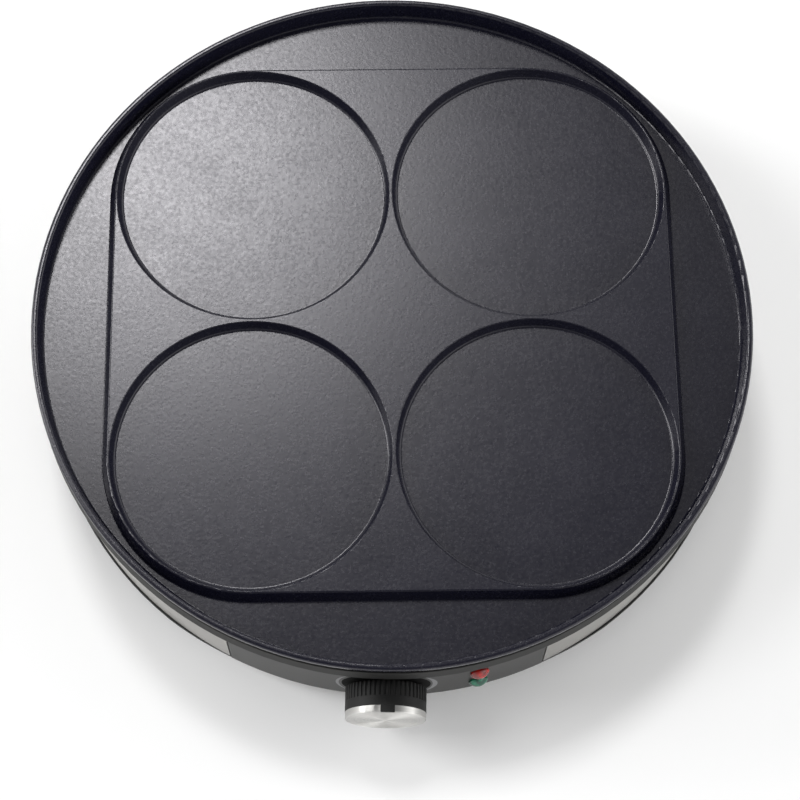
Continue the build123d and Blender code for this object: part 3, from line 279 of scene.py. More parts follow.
@dataclass(frozen=True)
class NonStickCoating(Finish):
    """Sprayed and baked PTFE coating on die-cast aluminium: dark, satin, with fine light flecks."""

    name: str = "ptfe_coating_on_cast_aluminium"
    colour: str = "#0e0e1b"
    thick_colour: str = "#12121f"
    fleck_colour: str = "#38383f"
    fleck_spacing: float = 1.6 * MM
    fleck_strength: float = 0.35
    fleck_core: float = 0.1
    fleck_edge: float = 0.32
    cloud: float = 22 * MM
    roughness: float = 0.255
    roughness_spread: float = 0.04
    cloud_share: float = 0.3
    mottle_range: tuple[float, float] = (0.4, 0.9)
    mottle_offset: tuple[float, float, float] = (0.5, 0.5, 0.5)
    grain: float = 1.5 * MM
    grain_height: float = 0.026 * MM
    tint: Colour = (0.985, 0.968, 1.0, 1.0)

    def inputs(self, tree: Tree) -> dict:
        """Return what feeds the shader."""
        point = object_point(tree)
        # Flecks of pigment about half a millimetre across show as faint light points.
        flecks = add(tree, "ShaderNodeTexVoronoi", {"Vector": point, "Scale": 1 / self.fleck_spacing})
        away = flecks.outputs["Distance"]
        fleck = remap(tree, away, self.fleck_strength, 0.0, self.fleck_core, self.fleck_edge)
        # The spray lies a little thicker here and thinner there, over a few centimetres.
        cloud = clouds(tree, point, self.cloud, 4.0)
        coat = ramp(tree, cloud, (0.3, self.colour), (0.75, self.thick_colour))
        # The grains are of uneven gloss, and so are the clouds of the spray: the sheen is softly mottled.
        aside = vector(tree, "ADD", point, self.mottle_offset)
        mottle = calc(tree, "MULTIPLY_ADD", cloud, self.cloud_share, clouds(tree, aside, self.grain, 2.0))
        low, high = self.roughness - self.roughness_spread, self.roughness + self.roughness_spread
        return {
            "Base Color": blend(tree, fleck, coat, linear(self.fleck_colour)),
            "Roughness": remap(tree, mottle, low, high, *self.mottle_range),
            "Specular Tint": self.tint,
            "Normal": surface_grain(tree, self.grain, self.grain_height),
        }


@dataclass(frozen=True)
class MouldedPlastic(Finish):
    """Injection-moulded plastic with a spark-eroded grain: soft sheen broken by fine, even texture."""

    worn_colour: str
    roughness: float = 0.45
    grain: float = 0.5 * MM
    grain_height: float = 0.012 * MM
    gloss: float = 0.5
    flow: float = 30 * MM

    def inputs(self, tree: Tree) -> dict:
        """Return what feeds the shader."""
        flow = clouds(tree, object_point(tree), self.flow, 3.0)
        return {
            "Base Color": ramp(tree, flow, (0.35, self.colour), (0.7, self.worn_colour)),
            "Roughness": self.roughness,
            "Specular IOR Level": self.gloss,
            "Normal": surface_grain(tree, self.grain, self.grain_height),
        }


@dataclass(frozen=True)
class PrintedPanel(Finish):
    """Painted ABS front with a pale heat mark on each side of the knob, and behind the knob a black disc that
    is painted shade.
    """

    name: str = "painted_abs_panel_with_print"
    colour: str = "#333332"
    shade_colour: str = "#2e2e2d"
    # The black disc behind the knob is painted shade, where the knob meets the panel.
    painted_shade_disc_colour: str = "#060606"
    mark_colour: str = "#828284"
    roughness: float = 0.4
    painted_shade_disc_roughness: float = 0.95
    gloss: float = 0.25
    painted_shade_disc_radius: float = 19.4 * MM
    mark_radius: float = 21.3 * MM
    low_mark_half: float = 0.65 * MM
    high_mark_half: float = 1.05 * MM
    mark_half_angle: float = 40.0
    cloud: float = 18 * MM
    grain: float = 0.6 * MM
    grain_height: float = 0.012 * MM

    def inputs(self, tree: Tree) -> dict:
        """Return what feeds the shader."""
        # The paint lies in faint cloudy shades, as sprayed metallic lacquer does.
        cloud = clouds(tree, object_point(tree), self.cloud, 4.0)
        paint = ramp(tree, cloud, (0.35, self.colour), (0.7, self.shade_colour))
        # The turn is counted in radians from straight up; each mark swells at its middle and ends in points.
        parts = split(tree, polar_point(tree, Lay.AROUND_KNOB, 1.0))
        turn, reach = parts["X"], parts["Z"]
        off = calc(tree, "SUBTRACT", calc(tree, "ABSOLUTE", turn), math.pi / 2)
        share = calc(tree, "DIVIDE", off, math.radians(self.mark_half_angle))
        swell = calc(tree, "SUBTRACT", 1.0, calc(tree, "MULTIPLY", share, share), clamp=True)
        is_high = calc(tree, "GREATER_THAN", turn, 0.0)
        half = remap(tree, is_high, self.low_mark_half, self.high_mark_half)
        width = calc(tree, "MULTIPLY", swell, half)
        gap = calc(tree, "ABSOLUTE", calc(tree, "SUBTRACT", reach, self.mark_radius))
        marked = blend(tree, calc(tree, "LESS_THAN", gap, width), paint, linear(self.mark_colour))
        in_painted_shade_disc = calc(tree, "LESS_THAN", reach, self.painted_shade_disc_radius)
        # The disc is painted shade round the knob: black, and left matt so that it stays dark there.
        return {
            "Base Color": blend(tree, in_painted_shade_disc, marked, linear(self.painted_shade_disc_colour)),
            "Roughness": remap(tree, in_painted_shade_disc, self.roughness, self.painted_shade_disc_roughness),
            "Specular IOR Level": self.gloss,
            "Normal": surface_grain(tree, self.grain, self.grain_height),
        }


@dataclass(frozen=True)
class BrushedMetal(Finish):
    """Metal worked with an abrasive: fine parallel lines that stretch its highlights across them."""

    lay: Lay
    radius: float
    roughness: float = 0.3
    line: float = 0.25 * MM
    line_length: float = 14 * MM
    line_height: float = 0.004 * MM
    stretch: float = 0.6
    ring: float = 0.0
    ring_half: float = 0.5 * MM
    ring_height: float = 0.25 * MM
    dark_share: float = 0.86
    smoother: float = 0.05
    rougher: float = 0.06

    def inputs(self, tree: Tree) -> dict:
        """Return what feeds the shader."""
        is_round = self.lay is not Lay.ALONG_X
        point = polar_point(tree, self.lay, self.radius) if is_round else object_point(tree)
        # The lines are drawn wider than the real ones, so that they show.
        scales = (1 / self.line_length, 1 / self.line, 1 / self.line)
        lines = clouds(tree, vector(tree, "MULTIPLY", point, scales), 1.0, 3.0)
        dark = linear(self.colour, self.dark_share)
        height = calc(tree, "MULTIPLY", lines, self.line_height)
        if self.ring:
            # The face is dished a little inside a raised rim.
            start, end = self.ring - self.ring_half, self.ring + self.ring_half
            rim = remap(tree, split(tree, point)["Z"], 0.0, self.ring_height, start, end, "SMOOTHSTEP")
            height = calc(tree, "ADD", height, rim)
        bump = add(tree, "ShaderNodeBump", {"Height": height, "Distance": 1.0, "Strength": 1.0})
        inputs = {
            "Base Color": ramp(tree, lines, (0.3, dark), (0.7, self.colour)),
            "Metallic": 1.0,
            "Roughness": remap(tree, lines, self.roughness - self.smoother, self.roughness + self.rougher),
            "Normal": bump.outputs["Normal"],
        }
        if is_round:
            along = self.along_lines(tree)
            inputs |= {"Anisotropic": self.stretch, "Anisotropic Rotation": 0.25, "Tangent": along}
        return inputs

    def along_lines(self, tree: Tree) -> Socket:
        """Return the way in which the lines run at a point, turned with the piece.

        Args:
            tree: Node tree.

        Returns:
            Socket with the direction.
        """
        if self.lay is Lay.AROUND_BODY:
            centre, axis = (0.0, AXIS_Y, 0.0), (0.0, 0.0, 1.0)
        else:
            centre, axis = (0.0, 0.0, KNOB_AXIS_Z), (0.0, 1.0, 0.0)
        way = vector(tree, "CROSS_PRODUCT", axis, vector(tree, "SUBTRACT", object_point(tree), centre))
        settings = {"vector_type": "VECTOR", "convert_from": "OBJECT", "convert_to": "WORLD"}
        return add(tree, "ShaderNodeVectorTransform", {"Vector": way}, **settings).outputs[0]


@dataclass(frozen=True)
class BareMetal(Finish):
    """Plated, drawn or cast metal with no brushing: an even shine with faint cloudy stains."""

    stain_colour: str
    roughness: float = 0.35
    stain: float = 5 * MM
    grain: float = 0.4 * MM
    grain_height: float = 0.003 * MM
    smoother: float = 0.08
    rougher: float = 0.12

    def inputs(self, tree: Tree) -> dict:
        """Return what feeds the shader."""
        cloud = clouds(tree, object_point(tree), self.stain, 5.0)
        return {
            "Base Color": ramp(tree, cloud, (0.35, self.colour), (0.72, self.stain_colour)),
            "Metallic": 1.0,
            "Roughness": remap(tree, cloud, self.roughness - self.smoother, self.roughness + self.rougher),
            "Normal": surface_grain(tree, self.grain, self.grain_height),
        }


@dataclass(frozen=True)
class ClearLens(Finish):
    """Tinted polycarbonate lens: a deep colour inside and a sharp highlight on the dome."""

    deep_colour: str
    roughness: float = 0.07
    bending: float = 1.58
    clearness: float = 0.2
    patch: float = 2.6 * MM

    def inputs(self, tree: Tree) -> dict:
        """Return what feeds the shader."""
        return {
            "Base Color": self.tones(tree),
            "Roughness": self.roughness,
            "IOR": self.bending,
            "Transmission Weight": self.clearness,
        }

    def tones(self, tree: Tree) -> Socket:
        """Return the colour, which moulded facets inside the dome scatter in small patches."""
        inputs = {"Vector": object_point(tree), "Scale": 1 / self.patch}
        facets = add(tree, "ShaderNodeTexVoronoi", inputs).outputs["Distance"]
        return ramp(tree, facets, (0.1, self.colour), (0.7, self.deep_colour))


@dataclass(frozen=True)
class LampGlass(ClearLens):
    """Drawn soda-lime glass of a small glow lamp: clear, faintly warm, with smoke marks near its pinch."""

    name: str = "drawn_soda_lime_glass"
    colour: str = "#f4eee6"
    deep_colour: str = colour
    roughness: float = 0.05
    bending: float = 1.52
    clearness: float = 0.9
    patch: float = 3 * MM
    smoke_share: float = 0.6

    def tones(self, tree: Tree) -> Socket:
        """Return the colour, which goes darker where there is smoke."""
        smoke = clouds(tree, object_point(tree), self.patch, 2.0)
        return ramp(tree, smoke, (0.4, self.colour), (0.8, linear(self.deep_colour, self.smoke_share)))


@dataclass(frozen=True)
class StripedSleeve(Finish):
    """Extruded silicone sleeve in two colours that change along the wire: matt and slightly dusty."""

    stripe_colour: str
    stripe: float = 5 * MM
    wave_per_stripe: float = 3.2
    waviness: float = 0.4
    roughness: float = 0.6
    grain: float = 0.5 * MM
    grain_height: float = 0.01 * MM

    def inputs(self, tree: Tree) -> dict:
        """Return what feeds the shader."""
        scale = 1 / (self.wave_per_stripe * self.stripe)
        inputs = {"Vector": object_point(tree), "Scale": scale, "Distortion": self.waviness}
        bands = add(tree, "ShaderNodeTexWave", inputs, bands_direction="DIAGONAL").outputs["Fac"]
        return {
            "Base Color": ramp(tree, bands, (0.48, self.colour), (0.52, self.stripe_colour)),
            "Roughness": self.roughness,
            "Normal": surface_grain(tree, self.grain, self.grain_height),
        }


ZINC = BareMetal("zinc_plated_steel", "#c9cacd", "#a9abb3", 0.28, 3 * MM)


def spot(bearing: float, radius: float, height: float) -> Vector:
    """Return a point of the round body.

    Args:
        bearing: Degrees from the front towards +X.
        radius: Distance from the upright axis, in metres.
        height: Height over the table, in metres.

    Returns:
        The point.
    """
    turn = math.radians(bearing)
    return Vector((radius * math.sin(turn), AXIS_Y - radius * math.cos(turn), height))


def give(tree: Tree, kind: str, inputs: dict | None = None, **settings: object) -> Socket:
    """Add a node with its settings and its inputs, and return its first output socket."""
    return add(tree, kind, inputs, **settings).outputs[0]


def open_tree(name: str, sockets: dict[str, str]) -> tuple[Tree, bpy.types.NodeOutputs]:
    """Start a geometry tree with named inputs, the last of which is the finish.

    Args:
        name: Tree's name.
        sockets: Name of each other input to its kind.

    Returns:
        The tree and the sockets that give its inputs.
    """
    tree = bpy.data.node_groups.new(name, "GeometryNodeTree")
    tree.interface.new_socket("Geometry", in_out="INPUT", socket_type="NodeSocketGeometry")
    tree.interface.new_socket("Geometry", in_out="OUTPUT", socket_type="NodeSocketGeometry")
    for label, kind in (sockets | {"Finish": "Material"}).items():
        tree.interface.new_socket(label, in_out="INPUT", socket_type="NodeSocket" + kind)
    return tree, add(tree, "NodeGroupInput").outputs


def close_tree(tree: Tree, geometry: Socket, finish: Socket) -> None:
    """End a geometry tree with real meshes that carry their material.

    Args:
        tree: Geometry tree.
        geometry: Socket with the shapes.
        finish: Socket with the material.
    """
    real = give(tree, "GeometryNodeRealizeInstances", {"Geometry": geometry})
    dressed = give(tree, "GeometryNodeSetMaterial", {"Geometry": real, "Material": finish})
    add(tree, "NodeGroupOutput", {"Geometry": dressed})


def lift_bottom(tree: Tree, disc: Node, rise: Socket) -> Socket:
    """Return the mesh of a disc whose bottom face is lifted."""
    offset = {"Selection": disc.outputs["Bottom"], "Offset": join(tree, z=rise)}
    return give(tree, "GeometryNodeSetPosition", {"Geometry": disc.outputs["Mesh"]} | offset)


def shift(tree: Tree, shape: Socket, height: Socket, turn: float = 0.0) -> Socket:
    """Return a shape that is moved up by a height and turned about the upright axis."""
    inputs = {"Geometry": shape, "Translation": join(tree, z=height), "Rotation": (0, 0, turn)}
    return give(tree, "GeometryNodeTransform", inputs)


def place(name: str, data: bpy.types.ID) -> bpy.types.Object:
    """Return a new object that stands in the scene."""
    made = bpy.data.objects.new(name, data)
    bpy.context.scene.collection.objects.link(made)
    return made


def soften(mesh: bpy.types.Mesh) -> None:
    """Shade a mesh smooth between its sharp edges."""
    mesh.shade_smooth()
    mesh.set_sharp_from_angle(angle=SHARP_ANGLE)


def grow(
    name: str, seed: bpy.types.Mesh, tree: Tree, finish: Finish, values: dict[str, object]
) -> bpy.types.Object:
    """Run a geometry tree on a seed mesh and keep what it gives as a plain mesh.

    Args:
        name: Piece's name.
        seed: Mesh that the tree starts from.
        tree: Geometry tree.
        finish: Finish of the piece.
        values: Name of each other input to its value.

    Returns:
        The piece.
    """
    piece = place(name, seed)
    modifier = piece.modifiers.new(tree.name, "NODES")
    modifier.node_group = tree
    values = values | {"Finish": finish.material()}
    for item in tree.interface.items_tree:
        if item.in_out == "INPUT" and item.name in values:
            modifier[item.identifier] = values[item.name]
    ready = bpy.context.evaluated_depsgraph_get()
    mesh = bpy.data.meshes.new_from_object(piece.evaluated_get(ready), depsgraph=ready)
    piece.modifiers.clear()
    piece.data = mesh
    mesh.materials.clear()
    mesh.materials.append(values["Finish"])
    for face in mesh.polygons:
        face.material_index = 0
    soften(mesh)
    return piece


def seed_points(name: str, places: list[tuple[Vector, Vector]]) -> bpy.types.Mesh:
    """Make a mesh of loose points, each with the way that its shape faces.

    Args:
        name: Mesh's name.
        places: Point and axis of each shape.

    Returns:
        The mesh.
    """
    mesh = bpy.data.meshes.new(name)
    mesh.from_pydata([tuple(point) for point, _ in places], [], [])
    axes = mesh.attributes.new("axis", "FLOAT_VECTOR", "POINT")
    for item, (_, axis) in zip(axes.data, places):
        item.vector = axis
    return mesh


def sizes_for(maker: object, labels: tuple[str, ...]) -> dict[str, object]:
    """Return the fields that the inputs of a tree are named after, such as rib_depth for Rib Depth."""
    return {label: getattr(maker, label.lower().replace(" ", "_")) for label in labels}


def seat(piece: bpy.types.Object, body: Body, slot: str, *nodes: str) -> None:
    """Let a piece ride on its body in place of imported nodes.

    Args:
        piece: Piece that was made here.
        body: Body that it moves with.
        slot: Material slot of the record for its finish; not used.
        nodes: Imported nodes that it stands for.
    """
    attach(piece, body.value)
    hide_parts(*nodes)
    log.info("%s rides on %s with %d faces", piece.name, body.value, len(piece.data.polygons))


def dress(finish: Finish, *nodes: str) -> None:
    """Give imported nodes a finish.

    Args:
        finish: Finish to use.
        nodes: Names of the nodes.
    """
    for name in nodes:
        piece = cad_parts[name]
        if not piece.material_slots:
            piece.data.materials.append(finish.material())
        for held in piece.material_slots:
            held.material = finish.material()
        log.info("%s is %s", name, finish.name)


class ScrewTree:
    """Node tree that puts a threaded pan-head screw with a cross recess on each seed point."""

    SIZES = ("Shank Radius", "Shank Length", "Thread Pitch", "Head Radius", "Head Height")
    HEAD_MESH = {"Vertices": 32, "Side Segments": 2, "Fill Segments": 5}
    DOME_SHARE = 0.45
    DOME_POWER = 4.0
    BURIED_SHARE = 0.2
    SHANK_SIDES = 16
    STEPS_PER_TURN = 4.0
    THREAD_SHARE = 0.4
    ARM_LENGTH = 1.1
    ARM_WIDTH = 0.28

    def __init__(self) -> None:
        """Build the tree."""
        self.tree, self.given = open_tree("pan_head_screws", dict.fromkeys(self.SIZES, "Float"))
        tree = self.tree
        inputs = {"Mesh 2": self.head()}
        body = add(tree, "GeometryNodeMeshBoolean", inputs, operation="UNION", solver="EXACT")
        tree.links.new(self.shank(), body.inputs["Mesh 2"])
        inputs = {"Mesh 1": body.outputs["Mesh"], "Mesh 2": self.recess(0.0)}
        cut = add(tree, "GeometryNodeMeshBoolean", inputs, operation="DIFFERENCE", solver="EXACT")
        tree.links.new(self.recess(math.pi / 2), cut.inputs["Mesh 2"])
        axis = give(tree, "GeometryNodeInputNamedAttribute", {"Name": "axis"}, data_type="FLOAT_VECTOR")
        turn = give(tree, "FunctionNodeAlignRotationToVector", {"Vector": axis}, axis="Z")
        inputs = {"Points": self.given["Geometry"], "Instance": cut.outputs["Mesh"], "Rotation": turn}
        close_tree(tree, give(tree, "GeometryNodeInstanceOnPoints", inputs), self.given["Finish"])

    def head(self) -> Socket:
        """Return the domed head, which stands below the seat."""
        tree, radius, height = self.tree, self.given["Head Radius"], self.given["Head Height"]
        disc = add(tree, "GeometryNodeMeshCylinder", self.HEAD_MESH | {"Radius": radius, "Depth": height})
        flat = vector(tree, "MULTIPLY", give(tree, "GeometryNodeInputPosition"), (1, 1, 0))
        share = calc(tree, "DIVIDE", vector(tree, "LENGTH", flat), radius)
        drop = calc(tree, "MULTIPLY", height, self.DOME_SHARE)
        rise = calc(tree, "MULTIPLY", calc(tree, "POWER", share, self.DOME_POWER), drop)
        domed = lift_bottom(tree, disc, rise)
        return shift(tree, domed, calc(tree, "MULTIPLY", height, -0.5))

    def shank(self) -> Socket:
        """Return the shank with its thread, which runs up from inside the head."""
        tree, pitch = self.tree, self.given["Thread Pitch"]
        buried = calc(tree, "MULTIPLY", self.given["Head Height"], self.BURIED_SHARE)
        length = calc(tree, "ADD", self.given["Shank Length"], buried)
        steps = calc(tree, "MULTIPLY", calc(tree, "DIVIDE", length, pitch), self.STEPS_PER_TURN)
        sizes = {"Side Segments": steps, "Radius": self.given["Shank Radius"], "Depth": length}
        rod = give(tree, "GeometryNodeMeshCylinder", {"Vertices": self.SHANK_SIDES} | sizes)
        point = give(tree, "GeometryNodeInputPosition")
        parts = split(tree, point)
        around = calc(tree, "DIVIDE", calc(tree, "ARCTAN2", parts["Y"], parts["X"]), 2 * math.pi)
        wound = calc(tree, "SUBTRACT", calc(tree, "DIVIDE", parts["Z"], pitch), around)
        ridge = calc(tree, "PINGPONG", wound, 0.5)
        size = calc(tree, "MULTIPLY_ADD", ridge, -self.THREAD_SHARE, 1.0)
        cut = vector(tree, "MULTIPLY", point, join(tree, x=size, y=size, z=1.0))
        threaded = give(tree, "GeometryNodeSetPosition", {"Geometry": rod, "Position": cut})
        return shift(tree, threaded, calc(tree, "SUBTRACT", calc(tree, "MULTIPLY", length, 0.5), buried))

    def recess(self, turn: float) -> Socket:
        """Return one arm of the cross recess.

        Args:
            turn: Turn of the arm about the screw's axis, in radians.

        Returns:
            Socket with the arm.
        """
        tree, radius, height = self.tree, self.given["Head Radius"], self.given["Head Height"]
        long = calc(tree, "MULTIPLY", radius, self.ARM_LENGTH)
        wide = calc(tree, "MULTIPLY", radius, self.ARM_WIDTH)
        arm = give(tree, "GeometryNodeMeshCube", {"Size": join(tree, x=long, y=wide, z=height)})
        return shift(tree, arm, calc(tree, "MULTIPLY", height, -1.0), turn)


@dataclass(frozen=True)
class ScrewSet:
    """Screws of one size; their shanks run from their seats along their axes."""

    node: str
    places: list[tuple[Vector, Vector]]
    shank_radius: float
    shank_length: float
    head_radius: float
    head_height: float
    thread_pitch: float

    def build(self, tree: Tree) -> None:
        """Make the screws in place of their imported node.

        Args:
            tree: Node tree that makes a screw on each point.
        """
        values = sizes_for(self, ScrewTree.SIZES)
        seeds = seed_points(self.node + "_seeds", self.places)
        seat(grow("threaded_" + self.node, seeds, tree, ZINC, values), Body.HOUSING, "zinc_steel", self.node)


@dataclass
class Fixings:
    """All screws of the cooker, with the spacers, washers and tag that they hold."""

    plate_circle: float = 70 * MM
    plate_bearings: tuple[float, ...] = (-60, 60, 180)
    plate_seat_z: float = 22 * MM
    base_circle: float = 147 * MM
    base_bearings: tuple[float, ...] = (-160, -100, -40, 40, 100, 160)
    base_seat_z: float = 12.3 * MM
    panel_circle: float = 152.55 * MM
    panel_bearings: tuple[float, ...] = (-21.5, 21.5)
    panel_seat_z: float = 22 * MM
    bracket_half_spacing: float = 9 * MM
    bracket_y: float = -120.45 * MM
    bracket_seat_z: float = 15.5 * MM
    block_half_spacing: float = 5.5 * MM
    block_y: float = 127.55 * MM
    block_seat_z: float = 26.5 * MM
    clip_x: float = 8.5 * MM
    clip_ys: tuple[float, ...] = (-58.45 * MM, -28.45 * MM, 36.55 * MM)
    clip_seat_z: float = 53.55 * MM

    def sets(self) -> list[ScrewSet]:
        """Return the sets of screws."""
        up, down = Vector((0, 0, 1)), Vector((0, 0, -1))
        panel = [
            (spot(b, self.panel_circle, self.panel_seat_z), (spot(b, 1, 0) - spot(b, 0, 0)).normalized())
            for b in self.panel_bearings
        ]
        plate = [(spot(b, self.plate_circle, self.plate_seat_z), up) for b in self.plate_bearings]
        base = [(spot(b, self.base_circle, self.base_seat_z), up) for b in self.base_bearings]
        bracket = self.pair(self.bracket_half_spacing, self.bracket_y, self.bracket_seat_z, down)
        block = self.pair(self.block_half_spacing, self.block_y, self.block_seat_z, down)
        clips = [(Vector((self.clip_x, y, self.clip_seat_z)), up) for y in self.clip_ys]
        return [
            ScrewSet("plate_screws", plate, 2.0 * MM, 31.0 * MM, 3.8 * MM, 3.2 * MM, 1.0 * MM),
            ScrewSet("base_screws", base, 1.45 * MM, 15.0 * MM, 3.1 * MM, 2.0 * MM, 1.3 * MM),
            ScrewSet("panel_screws", panel, 1.45 * MM, 4.65 * MM, 2.8 * MM, 1.9 * MM, 1.2 * MM),
            ScrewSet("bracket_screws", bracket, 1.4 * MM, 4.0 * MM, 2.8 * MM, 1.8 * MM, 0.8 * MM),
            ScrewSet("clip_screws", clips, 1.4 * MM, 3.6 * MM, 2.8 * MM, 1.8 * MM, 0.8 * MM),
            ScrewSet("block_screws", block, 1.4 * MM, 15.2 * MM, 2.8 * MM, 1.8 * MM, 0.8 * MM),
        ]

    @staticmethod
    def pair(half_spacing: float, y: float, z: float, axis: Vector) -> list[tuple[Vector, Vector]]:
        """Return the places of two screws side by side, with their axis."""
        return [(Vector((side * half_spacing, y, z)), axis) for side in (-1, 1)]

    def build(self) -> None:
        """Make the screws and dress what they hold."""
        tree = ScrewTree().tree
        for group in self.sets():
            group.build(tree)
        dress(ZINC, "plate_spacers", "spacer_washers", "earth_tag")


class FootTree:
    """Node tree that puts a round rubber foot with a ribbed tread on each seed point."""

    SIZES = ("Radius", "Height", "Rounding", "Rib Pitch", "Rib Depth")
    PAD_MESH = {"Vertices": 48, "Side Segments": 2, "Fill Segments": 28}

    def __init__(self) -> None:
        """Build the tree."""
        self.tree, given = open_tree("ribbed_feet", dict.fromkeys(self.SIZES, "Float"))
        tree, rounding, pitch = self.tree, given["Rounding"], given["Rib Pitch"]
        sizes = {"Radius": given["Radius"], "Depth": given["Height"]}
        pad = add(tree, "GeometryNodeMeshCylinder", self.PAD_MESH | sizes)
        flat = vector(tree, "MULTIPLY", give(tree, "GeometryNodeInputPosition"), (1, 1, 0))
        reach = vector(tree, "LENGTH", flat)
        past = calc(tree, "SUBTRACT", reach, calc(tree, "SUBTRACT", given["Radius"], rounding))
        share = calc(tree, "DIVIDE", calc(tree, "MAXIMUM", past, 0.0), rounding)
        curve = calc(tree, "MULTIPLY", calc(tree, "POWER", share, 2.0), rounding)
        deep = calc(tree, "DIVIDE", calc(tree, "PINGPONG", reach, pitch), pitch)
        groove = calc(tree, "MULTIPLY", deep, given["Rib Depth"])
        tread = calc(tree, "MULTIPLY", groove, calc(tree, "LESS_THAN", past, 0.0))
        shaped = lift_bottom(tree, pad, calc(tree, "ADD", tread, curve))
        stood = shift(tree, shaped, calc(tree, "MULTIPLY", given["Height"], 0.5))
        inputs = {"Points": given["Geometry"], "Instance": stood}
        close_tree(tree, give(tree, "GeometryNodeInstanceOnPoints", inputs), given["Finish"])


@dataclass
class Feet:
    """Four rubber feet pressed into the legs of the base, ribbed underneath."""

    circle: float = 122 * MM
    bearings: tuple[float, ...] = (-135, -45, 45, 135)
    radius: float = 8.8 * MM
    height: float = 4.5 * MM
    rounding: float = 1.2 * MM
    rib_pitch: float = 0.95 * MM
    rib_depth: float = 0.5 * MM

    def build(self) -> None:
        """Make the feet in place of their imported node."""
        rubber = MouldedPlastic("moulded_epdm_rubber", "#161615", "#1d1d1b", 0.75, 0.7 * MM, 0.02 * MM)
        places = [(spot(b, self.circle, 0), Vector((0, 0, 1))) for b in self.bearings]
        seeds, values = seed_points("feet_seeds", places), sizes_for(self, FootTree.SIZES)
        piece = grow("ribbed_rubber_feet", seeds, FootTree().tree, rubber, values)
        seat(piece, Body.HOUSING, "foot_rubber", "rubber_feet")


class TurnedTree:
    """Node tree that turns a closed profile about an axis and cuts flutes where the profile asks for them."""

    SIZES = ("Around", "Flute Count", "Flute Depth", "Flute Share")
    KINDS = ("Int", "Int", "Float", "Float")
    WELD = 0.001 * MM

    def __init__(self) -> None:
        """Build the tree."""
        sockets = dict(zip(self.SIZES, self.KINDS)) | {"Turn": "Vector", "Place": "Vector"}
        self.tree, given = open_tree("turned_and_fluted", sockets)
        tree, shape, around = self.tree, given["Geometry"], given["Around"]
        size = add(tree, "GeometryNodeAttributeDomainSize", {"Geometry": shape}, component="MESH")
        count = size.outputs["Point Count"]
        cells = {"Vertices X": calc(tree, "ADD", around, 1.0), "Vertices Y": count}
        sheet = give(tree, "GeometryNodeMeshGrid", cells)
        index = give(tree, "GeometryNodeInputIndex")
        row = calc(tree, "MODULO", index, count)
        column = calc(tree, "FLOOR", calc(tree, "DIVIDE", index, count))
        inputs = {"Geometry": shape, "Value": give(tree, "GeometryNodeInputPosition"), "Index": row}
        point = give(tree, "GeometryNodeSampleIndex", inputs, data_type="FLOAT_VECTOR")
        fluted = give(tree, "GeometryNodeInputNamedAttribute", {"Name": "fluted"}, data_type="FLOAT")
        wanted = give(tree, "GeometryNodeSampleIndex", inputs | {"Value": fluted}, data_type="FLOAT")
        share = calc(tree, "DIVIDE", column, around)
        angle = calc(tree, "MULTIPLY", share, 2 * math.pi)
        # A flute is a round groove: its depth follows a circle's arc over its share of the pitch.
        off = calc(tree, "PINGPONG", calc(tree, "MULTIPLY", share, given["Flute Count"]), 0.5)
        reach = calc(tree, "DIVIDE", off, given["Flute Share"])
        rest = calc(tree, "SUBTRACT", 1.0, calc(tree, "MULTIPLY", reach, reach), clamp=True)
        deep = calc(tree, "MULTIPLY", calc(tree, "SQRT", rest), given["Flute Depth"])
        parts = split(tree, point)
        radius = calc(tree, "SUBTRACT", parts["X"], calc(tree, "MULTIPLY", deep, wanted))
        across = calc(tree, "MULTIPLY", radius, calc(tree, "COSINE", angle))
        up = calc(tree, "MULTIPLY", radius, calc(tree, "SINE", angle))
        inputs = {"Geometry": sheet, "Position": join(tree, x=across, y=up, z=parts["Z"])}
        turned = give(tree, "GeometryNodeSetPosition", inputs)
        closed = give(tree, "GeometryNodeMergeByDistance", {"Geometry": turned, "Distance": self.WELD})
        # The stretch of the profile that lies on the axis folds up into a bare edge, which goes.
        bare = calc(tree, "LESS_THAN", give(tree, "GeometryNodeInputMeshEdgeNeighbors"), 0.5)
        inputs = {"Geometry": closed, "Selection": bare}
        clean = give(tree, "GeometryNodeDeleteGeometry", inputs, domain="EDGE", mode="EDGE_FACE")
        inputs = {"Geometry": clean, "Translation": given["Place"], "Rotation": given["Turn"]}
        close_tree(tree, give(tree, "GeometryNodeTransform", inputs), given["Finish"])


